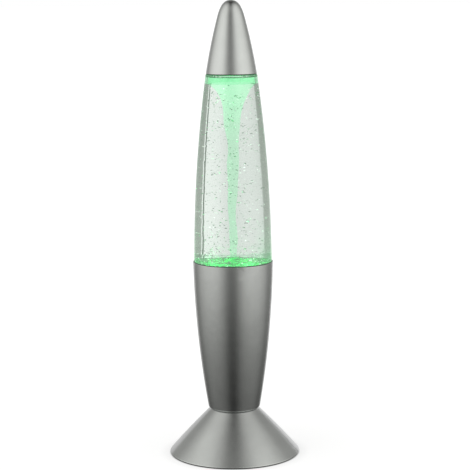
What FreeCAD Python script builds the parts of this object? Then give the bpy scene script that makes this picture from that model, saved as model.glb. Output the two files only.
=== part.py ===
import FreeCAD, Part
import collections
import math
import os

# A battery-run glitter vortex lamp: a flared foot, a tapered barrel with the motor and LEDs, a sealed
# liquid-filled bottle with an impeller, and a pointed cap. Millimetres, +Z up, and the origin on the
# table under the lamp's middle. The battery door hinges at the -Y end of the tray.

# Outer shape: each stretch is an arc of revolution between two radii, with a bulge off its chord.
sole_clearance = 0.6
foot_height = 35.15
foot_rim_radius = 49.6
foot_rim_height = 0.8
foot_neck_radius = 17.6
foot_bulge = 0.45
barrel_height = 113.05
barrel_low_radius = 19.57
barrel_rim_radius = 30.35
barrel_bulge = 2.22
bottle_height = 141.4
bottle_low_radius = 29.5
bottle_high_radius = 19.34
bottle_bulge = 2.32
cap_height = 54.8
cap_low_radius = 19.22
cap_side_height = 39.8
cap_side_radius = 10.95
cap_bulge = 0.50
cap_tip_reach = 6.62
cap_tip_flat = 7.25

# Clearances
running_gap = 0.05
press_gap = 0.02
assembly_gap = 0.2
slip_gap = 0.3

# Foot and barrel
foot_wall = 1.5
foot_flange = 2.4
barrel_wall = 1.5
barrel_floor = 2.4
edge_round = 0.6
barrel_heel_round = 1.2
spigot_radius = 12.0
spigot_bore = 8.5
spigot_depth = 6.0
boss_radius = 3.2
barrel_boss_height = 8.0
barrel_screw_circle = 14.8
barrel_screw_bearings = (30, 150, 270)
base_screw_circle = 34.0
base_screw_bearings = (90, 210, 330)
chassis_post_length = 14.0
chassis_screw_circle = 20.5
chassis_screw_bearings = (30, 150, 270)
rib_width = 3.0

# Base plate, battery tray and door
plate_recess = 1.4
plate_thickness = 2.2
plastic_wall = 1.4
cell_radius = 5.25
cell_length = 44.5
cell_gap = 0.7
cell_nub_radius = 1.9
cell_nub_length = 1.0
cell_chamfer = 0.4
cell_side_gap = 0.55
cell_floor_gap = 2.4
cell_roof_gap = 0.4
contact_space = 3.7
contact_thickness = 0.4
contact_width = 8.6
contact_height = 8.0
contact_tab_width = 2.4
contact_tab_height = 1.6
spring_wide_radius = 3.6
spring_narrow_radius = 2.6
spring_wire = 0.6
tray_corner = 3.0
door_thickness = 1.6
door_gap = 0.35
door_corner = 1.0
hinge_radius = 1.6
hinge_pin_radius = 1.0
hinge_pin_length = 2.2
hinge_half_length = 12.0
hinge_lug_radius = 2.0
finger_scoop_radius = 7.0
finger_scoop_depth = 1.0
screw_recess = 1.0
scoop_overlap = 1.0

# Slide switch
switch_offset = 7.1
switch_travel = 3.0
knob_width = 3.0
knob_length = 4.0
knob_drop = 1.0
carriage_width = 5.4
carriage_length = 7.0
carriage_height = 2.6
housing_width = 8.4
housing_length = 14.0
housing_height = 6.3
ear_length = 5.0
ear_thickness = 1.4
terminal_pitch = 4.0
terminal_height = 2.0
terminal_width = 1.6
terminal_thickness = 0.5

# Rubber feet
rubber_radius = 4.2
rubber_circle = 40.5
rubber_bearings = (45, 135, 225, 315)
rubber_recess = 0.5
rubber_chamfer = 0.4

# Lamp chassis, light board and LEDs
bottle_insert = 20.2
seat_thickness = 2.0
seat_inner_radius = 20.0
led_headroom = 1.2
chassis_plate = 2.4
chassis_wall = 2.0
board_standoff = 3.2
standoff_radius = 2.4
board_thickness = 1.2
board_inner_radius = 10.2
board_outer_radius = 17.4
board_screw_circle = 14.0
board_screw_bearings = (90, 210, 330)
led_circle = 13.8
led_bearings = (30, 150, 270)
led_radius = 2.5
led_flange = 0.4
led_flange_height = 1.0
led_height = 8.6
chip_size = (4.0, 5.0, 1.5)
resistor_size = (1.6, 3.2, 0.6)
resistor_bearings = (0, 60, 120)
lead_circle = 15.5
lead_hole_radius = 1.2
lead_bearings = (60, 120, 240, 300)

# Motor and magnetic drive
motor_radius = 10.0
motor_flat = 7.7
motor_length = 24.0
motor_wall = 0.8
motor_screw_offset = 5.5
end_cap_flange = 2.0
end_cap_plug = 1.5
nose_radius = 3.0
nose_height = 1.6
rear_bush_radius = 2.2
shaft_radius = 1.0
armature_radius = 6.0
armature_length = 12.0
pole_width = 1.6
pole_shoe = 1.0
pole_shoe_sweep = 96
winding_reach = 2.6
winding_overhang = 1.4
winding_half_width = 2.52
winding_gap = 0.6
commutator_radius = 2.4
commutator_length = 3.0
commutator_gap = 0.5
field_magnet_gap = 0.45
brush_width = 2.0
brush_height = 1.2
strip_thickness = 0.5
strip_offset = 5.0
motor_terminal_length = 4.0
carrier_radius = 9.2
carrier_gap = 2.2
carrier_thickness = 4.0
carrier_cover = 2.4
carrier_hub_radius = 2.6
carrier_hub_length = 2.6
drive_magnet_radius = 3.0
drive_magnet_height = 3.0
drive_magnet_circle = 6.0

# Bottle, liquid and impeller
bottle_wall = 2.2
bottle_floor = 2.4
shoulder_gap = 0.25
shoulder_blend = 2.4
bottle_heel_round = 1.5
neck_radius = 14.4
neck_height = 12.8
neck_bore = 8.0
plug_depth = 7.0
plug_rim = 2.0
plug_height = 2.0
seal_thickness = 1.0
liquid_gap = 0.05
vortex_strength = 850.0
vortex_crown = 5.2
vortex_points = 12
impeller_room_radius = 15.0
impeller_room_height = 9.5
impeller_lift = 0.7
impeller_disc_radius = 9.5
impeller_disc = 2.6
impeller_hub_radius = 3.2
impeller_hub = 3.8
blade_reach = 13.8
blade_height = 4.3
blade_thickness = 1.4
blade_count = 4
blade_bearing = 45
impeller_magnet_radius = 2.5
impeller_magnet_height = 2.0
impeller_pin_radius = 1.0
impeller_pin_depth = 1.4
pin_boss_radius = 2.5
pin_boss_height = 0.5
clip_radius = 2.2
clip_thickness = 0.6

# Cap
cap_wall = 1.2
liner_height = 11.0
liner_rise = 0.8

# Wires
lead_radius = 0.65

# Screws: shank radius, shank length, head radius, head height
Screw = collections.namedtuple("Screw", "shank length head height")
base_screw = Screw(1.45, 7.6, 2.8, 1.8)
barrel_screw = Screw(1.3, 9.4, 2.2, 2.0)
chassis_screw = Screw(1.3, 9.0, 2.4, 1.8)
board_screw = Screw(0.95, 4.0, 1.8, 1.2)
motor_screw = Screw(0.95, 3.5, 1.9, 1.2)
switch_screw = Screw(0.9, 3.1, 1.8, 1.0)

# Levels, from the table up
foot_sole_z = sole_clearance
foot_rim_z = foot_sole_z + foot_rim_height
plate_bottom_z = foot_sole_z + plate_recess
plate_top_z = plate_bottom_z + plate_thickness
cell_axis_z = plate_bottom_z + cell_floor_gap + cell_radius
tray_ceiling_z = cell_axis_z + cell_radius + cell_roof_gap
tray_roof_z = tray_ceiling_z + plastic_wall
foot_top_z = foot_sole_z + foot_height
flange_bottom_z = foot_top_z - foot_flange
barrel_floor_z = foot_top_z + barrel_floor
barrel_top_z = foot_top_z + barrel_height
bottle_bottom_z = barrel_top_z - bottle_insert
bottle_floor_z = bottle_bottom_z + bottle_floor
bottle_top_z = barrel_top_z + bottle_height
neck_top_z = bottle_top_z + neck_height
cap_sole_z = bottle_top_z + slip_gap
cap_shoulder_z = bottle_top_z + cap_side_height
cap_top_z = bottle_top_z + cap_height
seat_bottom_z = bottle_bottom_z - seat_thickness
board_top_z = bottle_bottom_z - led_headroom - led_height
board_bottom_z = board_top_z - board_thickness
chassis_top_z = board_bottom_z - board_standoff
chassis_bottom_z = chassis_top_z - chassis_plate
motor_top_z = chassis_bottom_z
motor_bottom_z = motor_top_z - motor_length
end_cap_top_z = motor_bottom_z + end_cap_plug
end_cap_bottom_z = motor_bottom_z - end_cap_flange
commutator_z = end_cap_top_z + commutator_gap
armature_z = commutator_z + commutator_length + winding_gap + winding_overhang
carrier_top_z = bottle_bottom_z - carrier_gap
carrier_bottom_z = carrier_top_z - carrier_thickness
shaft_top_z = carrier_top_z - carrier_cover
impeller_z = bottle_floor_z + impeller_lift
impeller_room_z = bottle_floor_z + impeller_room_height
impeller_disc_top_z = impeller_z + impeller_disc
impeller_top_z = impeller_disc_top_z + impeller_hub
clip_z = impeller_top_z + 2 * assembly_gap
vortex_top_z = bottle_top_z - vortex_crown

# Tray and switch places
cell_pitch = 2 * cell_radius + cell_gap
tray_half_width = cell_pitch + cell_radius + cell_side_gap
tray_half_length = cell_length / 2 + contact_space
hinge_y = -(tray_half_length - hinge_radius - door_gap)
hinge_z = plate_bottom_z + door_thickness
switch_x = tray_half_width + plastic_wall + switch_offset
housing_top_z = plate_top_z + housing_height

ORIGIN = FreeCAD.Vector(0, 0, 0)
UP = FreeCAD.Vector(0, 0, 1)
TOUCHING = 1e-6


def point(radius, z):
    """A point of a turned outline."""
    return FreeCAD.Vector(radius, 0, z)


def at(radius, bearing, z):
    """A place given by its distance from the lamp's axis, its bearing in degrees and its height."""
    turn = math.radians(bearing)
    return FreeCAD.Vector(radius * math.cos(turn), radius * math.sin(turn), z)


class Outline:
    """One arc of a turned outline, between a low and a high point, bulging outwards by a given amount."""

    def __init__(self, low_radius, low_z, high_radius, high_z, bulge):
        rise = high_z - low_z
        run = high_radius - low_radius
        chord = math.hypot(rise, run)
        self.arc_radius = chord ** 2 / (8 * bulge) + bulge / 2
        centre_offset = self.arc_radius - bulge
        self.centre_r = (low_radius + high_radius) / 2 - centre_offset * rise / chord
        self.centre_z = (low_z + high_z) / 2 + centre_offset * run / chord

    def radius(self, z, inset=0.0):
        """Radius of the outline, or of one a wall further in, at a height."""
        reach = self.arc_radius - inset
        return self.centre_r + math.sqrt(reach ** 2 - (z - self.centre_z) ** 2)

    def tangent(self, z):
        """Unit vector along the outline, upwards."""
        across = self.radius(z) - self.centre_r
        return FreeCAD.Vector(self.centre_z - z, 0, across) / self.arc_radius

    def edge(self, start_z, end_z, inset=0.0):
        """The arc between two heights."""
        heights = (start_z, (start_z + end_z) / 2, end_z)
        return Part.Arc(*[point(self.radius(z, inset), z) for z in heights]).toShape()


foot = Outline(foot_rim_radius, foot_rim_z, foot_neck_radius, foot_top_z, foot_bulge)
barrel = Outline(barrel_low_radius, foot_top_z, barrel_rim_radius, barrel_top_z, barrel_bulge)
bottle = Outline(bottle_low_radius, barrel_top_z, bottle_high_radius, bottle_top_z, bottle_bulge)
cap = Outline(cap_low_radius, bottle_top_z, cap_side_radius, cap_shoulder_z, cap_bulge)


def turned(*outline, sweep=360, start=0):
    """Revolve a closed outline about the axis: pairs are corners, edges are curves between corners."""
    stretches = []
    for item in outline:
        if isinstance(item, tuple):
            corner = point(*item)
            stretches.append((corner, corner, None))
        else:
            first = item.valueAt(item.FirstParameter)
            last = item.valueAt(item.LastParameter)
            stretches.append((first, last, item))
    edges = []
    for (_, end, curve), (following, _, _) in zip(stretches, stretches[1:] + stretches[:1]):
        if curve is not None:
            edges.append(curve)
        if end.distanceToPoint(following) > TOUCHING:
            edges.append(Part.makeLine(end, following))
    solid = Part.Face(Part.Wire(edges)).revolve(ORIGIN, UP, sweep)
    solid.rotate(ORIGIN, UP, start)
    return solid


def ring(inner, outer, low, high, sweep=360, start=0):
    """A turned ring with a rectangular section."""
    return turned((inner, low), (outer, low), (outer, high), (inner, high), sweep=sweep, start=start)


def rod(place, radius, length):
    """An upright cylinder that stands on a place."""
    return Part.makeCylinder(radius, length, place)


def block(x, y, z):
    """A box between two values along each axis."""
    corner = FreeCAD.Vector(x[0], y[0], z[0])
    return Part.makeBox(x[1] - x[0], y[1] - y[0], z[1] - z[0], corner)


def joined(first, *others):
    """Several touching shapes as one solid."""
    return first.multiFuse(list(others)).removeSplitter()


def without(shape, *tools):
    """A shape with several others cut from it."""
    return shape.cut(Part.makeCompound(list(tools)))


def rounded(shape, radius, wanted):
    """A shape with the edges that answer a test rounded."""
    return shape.makeFillet(radius, [edge for edge in shape.Edges if wanted(edge)])


def is_circle(radius, z):
    """A test for the round edge of a given radius at a given height."""

    def test(edge):
        box = edge.BoundBox
        level = abs(box.ZMin - z) < 0.01 and abs(box.ZMax - z) < 0.01
        return level and abs(box.XMax - radius) < 0.01

    return test


def is_upright(edge):
    """Whether an edge is a straight upright one."""
    box = edge.BoundBox
    return box.XLength < 0.01 and box.YLength < 0.01 and box.ZLength > 0.1


def screw(seat, kind, shank_up):
    """A pan-head screw with a cross recess, whose head bears on its seat."""
    dome = Part.Arc(
        point(kind.head, 0.4 * kind.height),
        point(0.72 * kind.head, 0.84 * kind.height),
        point(0, kind.height),
    ).toShape()
    body = turned((0, -kind.length), (kind.shank, -kind.length), (kind.shank, 0), (kind.head, 0), dome)
    arm = 0.6 * kind.head
    slot = 0.14 * kind.head
    depth = (0.5 * kind.height, 2 * kind.height)
    body = without(body, block((-arm, arm), (-slot, slot), depth), block((-slot, slot), (-arm, arm), depth))
    if shank_up:
        body.rotate(ORIGIN, FreeCAD.Vector(1, 0, 0), 180)
    body.translate(seat)
    return body


def screws(kind, circle, bearings, seat_z, shank_up):
    """Identical screws on a circle, as separate solids."""
    return Part.makeCompound([screw(at(circle, bearing, seat_z), kind, shank_up) for bearing in bearings])


def holes(radius, circle, bearings, low, high):
    """Upright holes on a circle."""
    return Part.makeCompound([rod(at(circle, bearing, low), radius, high - low) for bearing in bearings])


def core(outline, inset, low, high):
    """The full solid inside an outline, to trim ribs and bosses to the wall."""
    return turned((0, low), outline.edge(low, high, inset), (0, high))


def foot_shell():
    """The flared foot: a spun cone with a top flange, a spigot hole and three screw bosses."""
    shell = turned(
        (foot_rim_radius, foot_sole_z),
        foot.edge(foot_rim_z, foot_top_z),
        (spigot_radius + assembly_gap, foot_top_z),
        (spigot_radius + assembly_gap, flange_bottom_z),
        foot.edge(flange_bottom_z, foot_rim_z, foot_wall),
        (foot.radius(foot_rim_z, foot_wall), foot_sole_z),
    )
    shell = rounded(shell, edge_round, is_circle(foot_rim_radius, foot_rim_z))
    shell = rounded(shell, edge_round / 2, is_circle(foot_rim_radius, foot_sole_z))
    room = core(foot, foot_wall / 2, plate_top_z, flange_bottom_z)
    bosses = holes(boss_radius, base_screw_circle, base_screw_bearings, plate_top_z, flange_bottom_z)
    pilot_top = plate_bottom_z + screw_recess + base_screw.length + assembly_gap
    pilot = base_screw.shank + running_gap
    return without(
        joined(shell, *bosses.common(room).Solids),
        holes(pilot, base_screw_circle, base_screw_bearings, foot_sole_z, pilot_top),
        holes(barrel_screw.shank + assembly_gap, barrel_screw_circle, barrel_screw_bearings,
              flange_bottom_z, foot_top_z),
    )


def barrel_shell():
    """The tapered barrel: side wall, floor, spigot, bosses over the foot and posts for the chassis."""
    shell = turned(
        barrel.edge(foot_top_z, barrel_top_z),
        barrel.edge(barrel_top_z, barrel_floor_z, barrel_wall),
        (spigot_bore, barrel_floor_z),
        (spigot_bore, foot_top_z - spigot_depth),
        (spigot_radius, foot_top_z - spigot_depth),
        (spigot_radius, foot_top_z),
    )
    shell = rounded(shell, barrel_heel_round, is_circle(barrel_low_radius, foot_top_z))
    shell = rounded(shell, edge_round / 2, is_circle(barrel_rim_radius, barrel_top_z))
    room = core(barrel, barrel_wall / 2, barrel_floor_z, barrel_top_z)
    boss_top = barrel_floor_z + barrel_boss_height
    bosses = holes(boss_radius, barrel_screw_circle, barrel_screw_bearings, barrel_floor_z, boss_top)
    post_bottom = chassis_bottom_z - chassis_post_length
    added = list(bosses.common(room).Solids)
    for bearing in chassis_screw_bearings:
        post = rod(at(chassis_screw_circle, bearing, post_bottom), boss_radius, chassis_post_length)
        reach = (chassis_screw_circle, barrel_rim_radius)
        rib = block(reach, (-rib_width / 2, rib_width / 2), (post_bottom, chassis_bottom_z))
        rib.rotate(ORIGIN, UP, bearing)
        added.append(joined(post, rib).common(room))
    pilot_bottom = chassis_top_z - chassis_screw.length - assembly_gap
    pilot_top = flange_bottom_z + barrel_screw.length + assembly_gap
    return without(
        joined(shell, *added),
        holes(barrel_screw.shank + running_gap, barrel_screw_circle, barrel_screw_bearings,
              foot_top_z, pilot_top),
        holes(chassis_screw.shank + running_gap, chassis_screw_circle, chassis_screw_bearings,
              pilot_bottom, chassis_bottom_z),
    )


def rubber_foot(bearing):
    """A soft round foot in a shallow recess of the base plate."""
    top = plate_bottom_z + rubber_recess
    foot_pad = turned(
        (0, 0), (rubber_radius - rubber_chamfer, 0), (rubber_radius, rubber_chamfer), (rubber_radius, top),
        (0, top),
    )
    foot_pad.translate(at(rubber_circle, bearing, 0))
    return foot_pad


def tray_end(side, thickness):
    """The span along Y of something that lies flat on an end wall of the tray."""
    near = side * (tray_half_length - thickness)
    far = side * tray_half_length
    return (min(near, far), max(near, far))


def contact(cells, side, sprung_cells, has_tab):
    """A sheet contact on one end wall, with a pressed button for each positive end it touches."""
    xs = [cell_x(number) for number in cells]
    span = (min(xs) - contact_width / 2, max(xs) + contact_width / 2)
    height = (cell_axis_z - contact_height / 2, cell_axis_z + contact_height / 2)
    sheet = block(span, tray_end(side, contact_thickness), height)
    buttons = []
    for number in cells:
        if number not in sprung_cells:
            base = FreeCAD.Vector(cell_x(number), side * tray_half_length, cell_axis_z)
            inwards = FreeCAD.Vector(0, -side, 0)
            buttons.append(Part.makeCylinder(cell_nub_radius, contact_space, base, inwards))
    if has_tab:
        tab = (xs[0] - contact_tab_width / 2, xs[0] + contact_tab_width / 2)
        rise = (cell_axis_z, tray_roof_z + contact_tab_height)
        buttons.append(block(tab, tray_end(side, contact_thickness), rise))
    return joined(sheet, *buttons) if buttons else sheet


def cell_x(number):
    """Where a cell lies across the tray."""
    return (number - 2) * cell_pitch


def contact_plates():
    """Four sheet contacts that join three cells in series."""
    return Part.makeCompound([
        contact([1], -1, [1], True),
        contact([2, 3], -1, [3], False),
        contact([1, 2], 1, [2], False),
        contact([3], 1, [], True),
    ])


def battery_springs():
    """The cone-shaped room of the three contact springs."""
    springs = []
    for number, side in ((1, -1), (3, -1), (2, 1)):
        length = contact_space - contact_thickness
        outside = Part.makeCone(spring_wide_radius, spring_narrow_radius, length)
        inside = Part.makeCone(spring_wide_radius - spring_wire, spring_narrow_radius - spring_wire, length)
        spring = outside.cut(inside)
        spring.rotate(ORIGIN, FreeCAD.Vector(1, 0, 0), 90 * side)
        spring.translate(FreeCAD.Vector(cell_x(number), side * (cell_length / 2 + length), cell_axis_z))
        springs.append(spring)
    return Part.makeCompound(springs)


def battery_cell(number):
    """A dry cell lying along Y, with its button end against the contact that has no spring."""
    body = cell_length - cell_nub_length
    shoulder = cell_radius - cell_chamfer
    cell = turned(
        (0, 0), (shoulder, 0), (cell_radius, cell_chamfer), (cell_radius, body - cell_chamfer),
        (shoulder, body), (cell_nub_radius, body), (cell_nub_radius, cell_length), (0, cell_length),
    )
    side = -1 if number == 2 else 1
    cell.translate(FreeCAD.Vector(0, 0, -cell_length / 2))
    cell.rotate(ORIGIN, FreeCAD.Vector(1, 0, 0), -90 * side)
    cell.translate(FreeCAD.Vector(cell_x(number), 0, cell_axis_z))
    return cell


def hinge_cylinder(radius, low_x, high_x):
    """A cylinder on the battery door's hinge axis."""
    base = FreeCAD.Vector(low_x, hinge_y, hinge_z)
    return Part.makeCylinder(radius, high_x - low_x, base, FreeCAD.Vector(1, 0, 0))


def base_plate():
    """The underside: a disc with the battery tray, hinge lugs, switch slot, screw and foot recesses."""
    fit = foot_wall + assembly_gap
    disc = turned((0, plate_bottom_z), foot.edge(plate_bottom_z, plate_top_z, fit), (0, plate_top_z))
    outer_x = tray_half_width + plastic_wall
    outer_y = tray_half_length + plastic_wall
    tray = block((-outer_x, outer_x), (-outer_y, outer_y), (plate_bottom_z, tray_roof_z))
    tray = rounded(tray, tray_corner, is_upright)
    inside = block((-tray_half_width, tray_half_width), (-tray_half_length, tray_half_length),
                   (plate_bottom_z, tray_ceiling_z))
    plate = joined(disc, tray).cut(inside)
    lugs = []
    for side in (-1, 1):
        inner = side * (hinge_half_length + slip_gap)
        outer = side * (tray_half_width + plastic_wall / 2)
        low, high = min(inner, outer), max(inner, outer)
        round_lug = hinge_cylinder(hinge_lug_radius, low, high)
        web = block((low, high), (-tray_half_length - plastic_wall / 2, hinge_y),
                    (plate_bottom_z, hinge_z + hinge_lug_radius))
        lugs.append(joined(round_lug, web))
    plate = joined(plate, *lugs)
    reach = hinge_half_length + hinge_pin_length + assembly_gap
    slot_x = knob_width / 2 + assembly_gap
    slot_y = (knob_length + switch_travel) / 2 + assembly_gap
    screw_y = housing_length / 2 + ear_length / 2
    cuts = [
        hinge_cylinder(hinge_pin_radius + running_gap, -reach, reach),
        block((switch_x - slot_x, switch_x + slot_x), (-slot_y, slot_y), (plate_bottom_z, plate_top_z)),
        rod(
            FreeCAD.Vector(0, tray_half_length + scoop_overlap, plate_bottom_z),
            finger_scoop_radius,
            finger_scoop_depth,
        ),
        holes(base_screw.head + slip_gap, base_screw_circle, base_screw_bearings,
              plate_bottom_z, plate_bottom_z + screw_recess),
        holes(base_screw.shank + assembly_gap, base_screw_circle, base_screw_bearings,
              plate_bottom_z, plate_top_z),
        holes(rubber_radius + press_gap, rubber_circle, rubber_bearings,
              plate_bottom_z, plate_bottom_z + rubber_recess),
    ]
    for side in (-1, 1):
        pilot_depth = switch_screw.length - ear_thickness
        base = FreeCAD.Vector(switch_x, side * screw_y, plate_top_z - pilot_depth)
        cuts.append(rod(base, switch_screw.shank + running_gap, pilot_depth))
        tab_x = side * cell_pitch
        slot_half = contact_tab_width / 2 + press_gap
        slot_y_span = tray_end(side, contact_thickness + press_gap)
        cuts.append(block((tab_x - slot_half, tab_x + slot_half), slot_y_span, (tray_ceiling_z, tray_roof_z)))
    return without(plate, *cuts)


def battery_door():
    """The door: a flat lid with a round knuckle and two pins, notched clear of the plate's lugs."""
    half_width = tray_half_width - door_gap
    lug_reach = hinge_y + hinge_lug_radius + slip_gap
    free_end = tray_half_length - door_gap
    level = (plate_bottom_z, hinge_z)
    lid = block((-half_width, half_width), (lug_reach, free_end), level)
    lid = rounded(lid, door_corner, lambda edge: is_upright(edge) and edge.BoundBox.YMin > 0)
    tongue = block((-hinge_half_length, hinge_half_length), (hinge_y, lug_reach), level)
    knuckle = hinge_cylinder(hinge_radius, -hinge_half_length, hinge_half_length)
    reach = hinge_half_length + hinge_pin_length
    pins = hinge_cylinder(hinge_pin_radius, -reach, reach)
    return joined(lid, tongue, knuckle, pins)


def switch_housing():
    """The slide switch's body, open underneath where its carriage runs, with an ear at each end."""
    half_x = housing_width / 2
    half_y = housing_length / 2
    body = block((switch_x - half_x, switch_x + half_x), (-half_y, half_y), (plate_top_z, housing_top_z))
    ear_y = half_y + ear_length
    ears = block((switch_x - half_x, switch_x + half_x), (-ear_y, ear_y),
                 (plate_top_z, plate_top_z + ear_thickness))
    room_x = carriage_width / 2 + assembly_gap
    room_y = (carriage_length + switch_travel) / 2 + assembly_gap
    room_z = plate_top_z + carriage_height + 2 * assembly_gap
    room = block((switch_x - room_x, switch_x + room_x), (-room_y, room_y), (plate_top_z, room_z))
    screw_holes = [
        rod(FreeCAD.Vector(switch_x, side * (half_y + ear_length / 2), plate_top_z),
            switch_screw.shank + assembly_gap, ear_thickness)
        for side in (-1, 1)
    ]
    return without(joined(body, ears), room, *screw_holes)


def switch_knob():
    """The knob and its carriage, at the on end of their travel."""
    middle = switch_travel / 2
    nub = block((switch_x - knob_width / 2, switch_x + knob_width / 2),
                (middle - knob_length / 2, middle + knob_length / 2),
                (plate_bottom_z - knob_drop, plate_top_z + assembly_gap))
    carriage = block((switch_x - carriage_width / 2, switch_x + carriage_width / 2),
                     (middle - carriage_length / 2, middle + carriage_length / 2),
                     (plate_top_z + assembly_gap, plate_top_z + assembly_gap + carriage_height))
    return joined(nub, carriage)


def switch_terminals():
    """Three solder tags on top of the switch."""
    tags = []
    for number in (-1, 0, 1):
        middle = number * terminal_pitch
        tags.append(block((switch_x - terminal_thickness / 2, switch_x + terminal_thickness / 2),
                          (middle - terminal_width / 2, middle + terminal_width / 2),
                          (housing_top_z, housing_top_z + terminal_height)))
    return Part.makeCompound(tags)


def switch_screws():
    """The two screws through the switch's ears."""
    seat_y = housing_length / 2 + ear_length / 2
    seats = [FreeCAD.Vector(switch_x, side * seat_y, plate_top_z + ear_thickness) for side in (-1, 1)]
    return Part.makeCompound([screw(seat, switch_screw, False) for seat in seats])


def chassis_radius():
    """Outer radius of the chassis, from the barrel's inside at its lowest point."""
    return barrel.radius(chassis_bottom_z, barrel_wall) - assembly_gap


def lamp_chassis():
    """A cup across the barrel: it carries the motor below, the light board inside and the bottle on top."""
    outside = chassis_radius()
    cup = turned(
        (nose_radius + assembly_gap, chassis_bottom_z),
        (outside, chassis_bottom_z),
        (outside, seat_bottom_z),
        (outside - chassis_wall, seat_bottom_z),
        (outside - chassis_wall, chassis_top_z),
        (nose_radius + assembly_gap, chassis_top_z),
    )
    standoffs = holes(
        standoff_radius, board_screw_circle, board_screw_bearings, chassis_top_z, board_bottom_z
    )
    screw_tip = board_top_z - board_screw.length - assembly_gap
    return without(
        joined(cup, *standoffs.Solids),
        holes(board_screw.shank + running_gap, board_screw_circle, board_screw_bearings,
              screw_tip, board_bottom_z),
        holes(chassis_screw.shank + assembly_gap, chassis_screw_circle, chassis_screw_bearings,
              chassis_bottom_z, chassis_top_z),
        holes(
            motor_screw.shank + assembly_gap,
            motor_screw_offset,
            (0, 180),
            chassis_bottom_z,
            chassis_top_z,
        ),
        holes(lead_hole_radius, lead_circle, lead_bearings, chassis_bottom_z, chassis_top_z),
    )


def bottle_seat_ring():
    """A soft ring between the chassis and the bottle."""
    return ring(seat_inner_radius, chassis_radius(), seat_bottom_z, bottle_bottom_z)


def led_board():
    """The ring-shaped light board."""
    board = ring(board_inner_radius, board_outer_radius, board_bottom_z, board_top_z)
    return board.cut(holes(board_screw.shank + assembly_gap, board_screw_circle, board_screw_bearings,
                           board_bottom_z, board_top_z))


def led(bearing):
    """A round-headed LED standing on the board."""
    shoulder = board_top_z + led_height - led_radius
    dome = Part.Arc(
        point(led_radius, shoulder),
        point(led_radius * math.sqrt(0.5), shoulder + led_radius * math.sqrt(0.5)),
        point(0, shoulder + led_radius),
    ).toShape()
    body = turned(
        (0, board_top_z), (led_radius + led_flange, board_top_z),
        (led_radius + led_flange, board_top_z + led_flange_height),
        (led_radius, board_top_z + led_flange_height),
        dome,
    )
    body.translate(at(led_circle, bearing, 0))
    return body


def board_part(size, bearing):
    """A flat component on the light board, long side across the radius."""
    radial, across, height = size
    middle = (board_inner_radius + board_outer_radius) / 2
    part = block((middle - radial / 2, middle + radial / 2), (-across / 2, across / 2),
                 (board_top_z, board_top_z + height))
    part.rotate(ORIGIN, UP, bearing)
    return part


def flatted(radius, flat, low, high):
    """A cylinder with two flats across Y, the motor's section."""
    return rod(point(0, low), radius, high - low).common(block((-radius, radius), (-flat, flat), (low, high)))


def motor_can():
    """The motor's drawn can, open at the bottom."""
    outside = flatted(motor_radius, motor_flat, motor_bottom_z, motor_top_z)
    inside = flatted(
        motor_radius - motor_wall, motor_flat - motor_wall, motor_bottom_z, motor_top_z - motor_wall
    )
    nose = rod(point(0, motor_top_z - motor_wall), nose_radius + press_gap, motor_wall)
    threads = holes(motor_screw.shank + running_gap, motor_screw_offset, (0, 180),
                    motor_top_z - motor_wall, motor_top_z)
    return without(outside, inside, nose, threads)


def motor_end_cap():
    """The motor's plastic end cap, which carries the rear bush and the terminal strips."""
    flange = flatted(motor_radius, motor_flat, end_cap_bottom_z, motor_bottom_z)
    gap = motor_wall + running_gap
    plug = flatted(motor_radius - gap, motor_flat - gap, motor_bottom_z, end_cap_top_z)
    bore = rod(point(0, end_cap_bottom_z), rear_bush_radius + press_gap, end_cap_top_z - end_cap_bottom_z)
    slots = []
    half_x = strip_thickness / 2 + press_gap
    half_y = brush_width / 2 + press_gap
    for side in (-1, 1):
        middle = side * strip_offset
        slots.append(block((middle - half_x, middle + half_x), (-half_y, half_y),
                           (end_cap_bottom_z, end_cap_top_z)))
    return without(joined(flange, plug), bore, *slots)


def motor_terminals():
    """Two brass strips: solder tag below the end cap, brush against the commutator above it."""
    strips = []
    brush_z = commutator_z + (commutator_length - brush_height) / 2
    for side in (-1, 1):
        middle = side * strip_offset
        strip = block((middle - strip_thickness / 2, middle + strip_thickness / 2),
                      (-brush_width / 2, brush_width / 2),
                      (end_cap_bottom_z - motor_terminal_length, brush_z + brush_height))
        tip = side * (commutator_radius + running_gap)
        brush = block((min(tip, middle), max(tip, middle)), (-brush_width / 4, brush_width / 4),
                      (brush_z, brush_z + brush_height))
        strips.append(joined(strip, brush))
    return Part.makeCompound(strips)


def motor_bushings():
    """The plain bearings: the nose bush in the can and the rear bush in the end cap."""
    bore = shaft_radius + running_gap
    nose = ring(bore, nose_radius, motor_top_z - 2 * motor_wall, motor_top_z + nose_height)
    rear = ring(bore, rear_bush_radius, end_cap_bottom_z, end_cap_top_z)
    return Part.makeCompound([nose, rear])


def field_magnet(bearing):
    """A curved field magnet on the can's inside, as wide as the flats leave room for."""
    outer = motor_radius - motor_wall - running_gap
    half_sweep = math.degrees(math.asin((motor_flat - motor_wall - running_gap) / outer))
    return ring(armature_radius + field_magnet_gap, outer, armature_z, armature_z + armature_length,
                sweep=2 * half_sweep, start=bearing - half_sweep)


def motor_shaft():
    """The motor's shaft, up into the magnet carrier."""
    return rod(point(0, end_cap_bottom_z), shaft_radius, shaft_top_z - end_cap_bottom_z)


def pole(width, low, high):
    """The straight part of one armature pole, or a slot to match it, along +X."""
    return block((0, armature_radius - pole_shoe / 2), (-width / 2, width / 2), (low, high))


def motor_armature():
    """The three-pole iron stack."""
    low, high = armature_z, armature_z + armature_length
    pieces = [ring(shaft_radius + press_gap, rear_bush_radius, low, high)]
    for bearing in (0, 120, 240):
        arm = pole(pole_width, low, high)
        arm.rotate(ORIGIN, UP, bearing)
        pieces.append(arm)
        pieces.append(ring(armature_radius - pole_shoe, armature_radius, low, high,
                           sweep=pole_shoe_sweep, start=bearing - pole_shoe_sweep / 2))
    bore = rod(point(0, low), shaft_radius + press_gap, high - low)
    return joined(*pieces).cut(bore)


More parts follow.
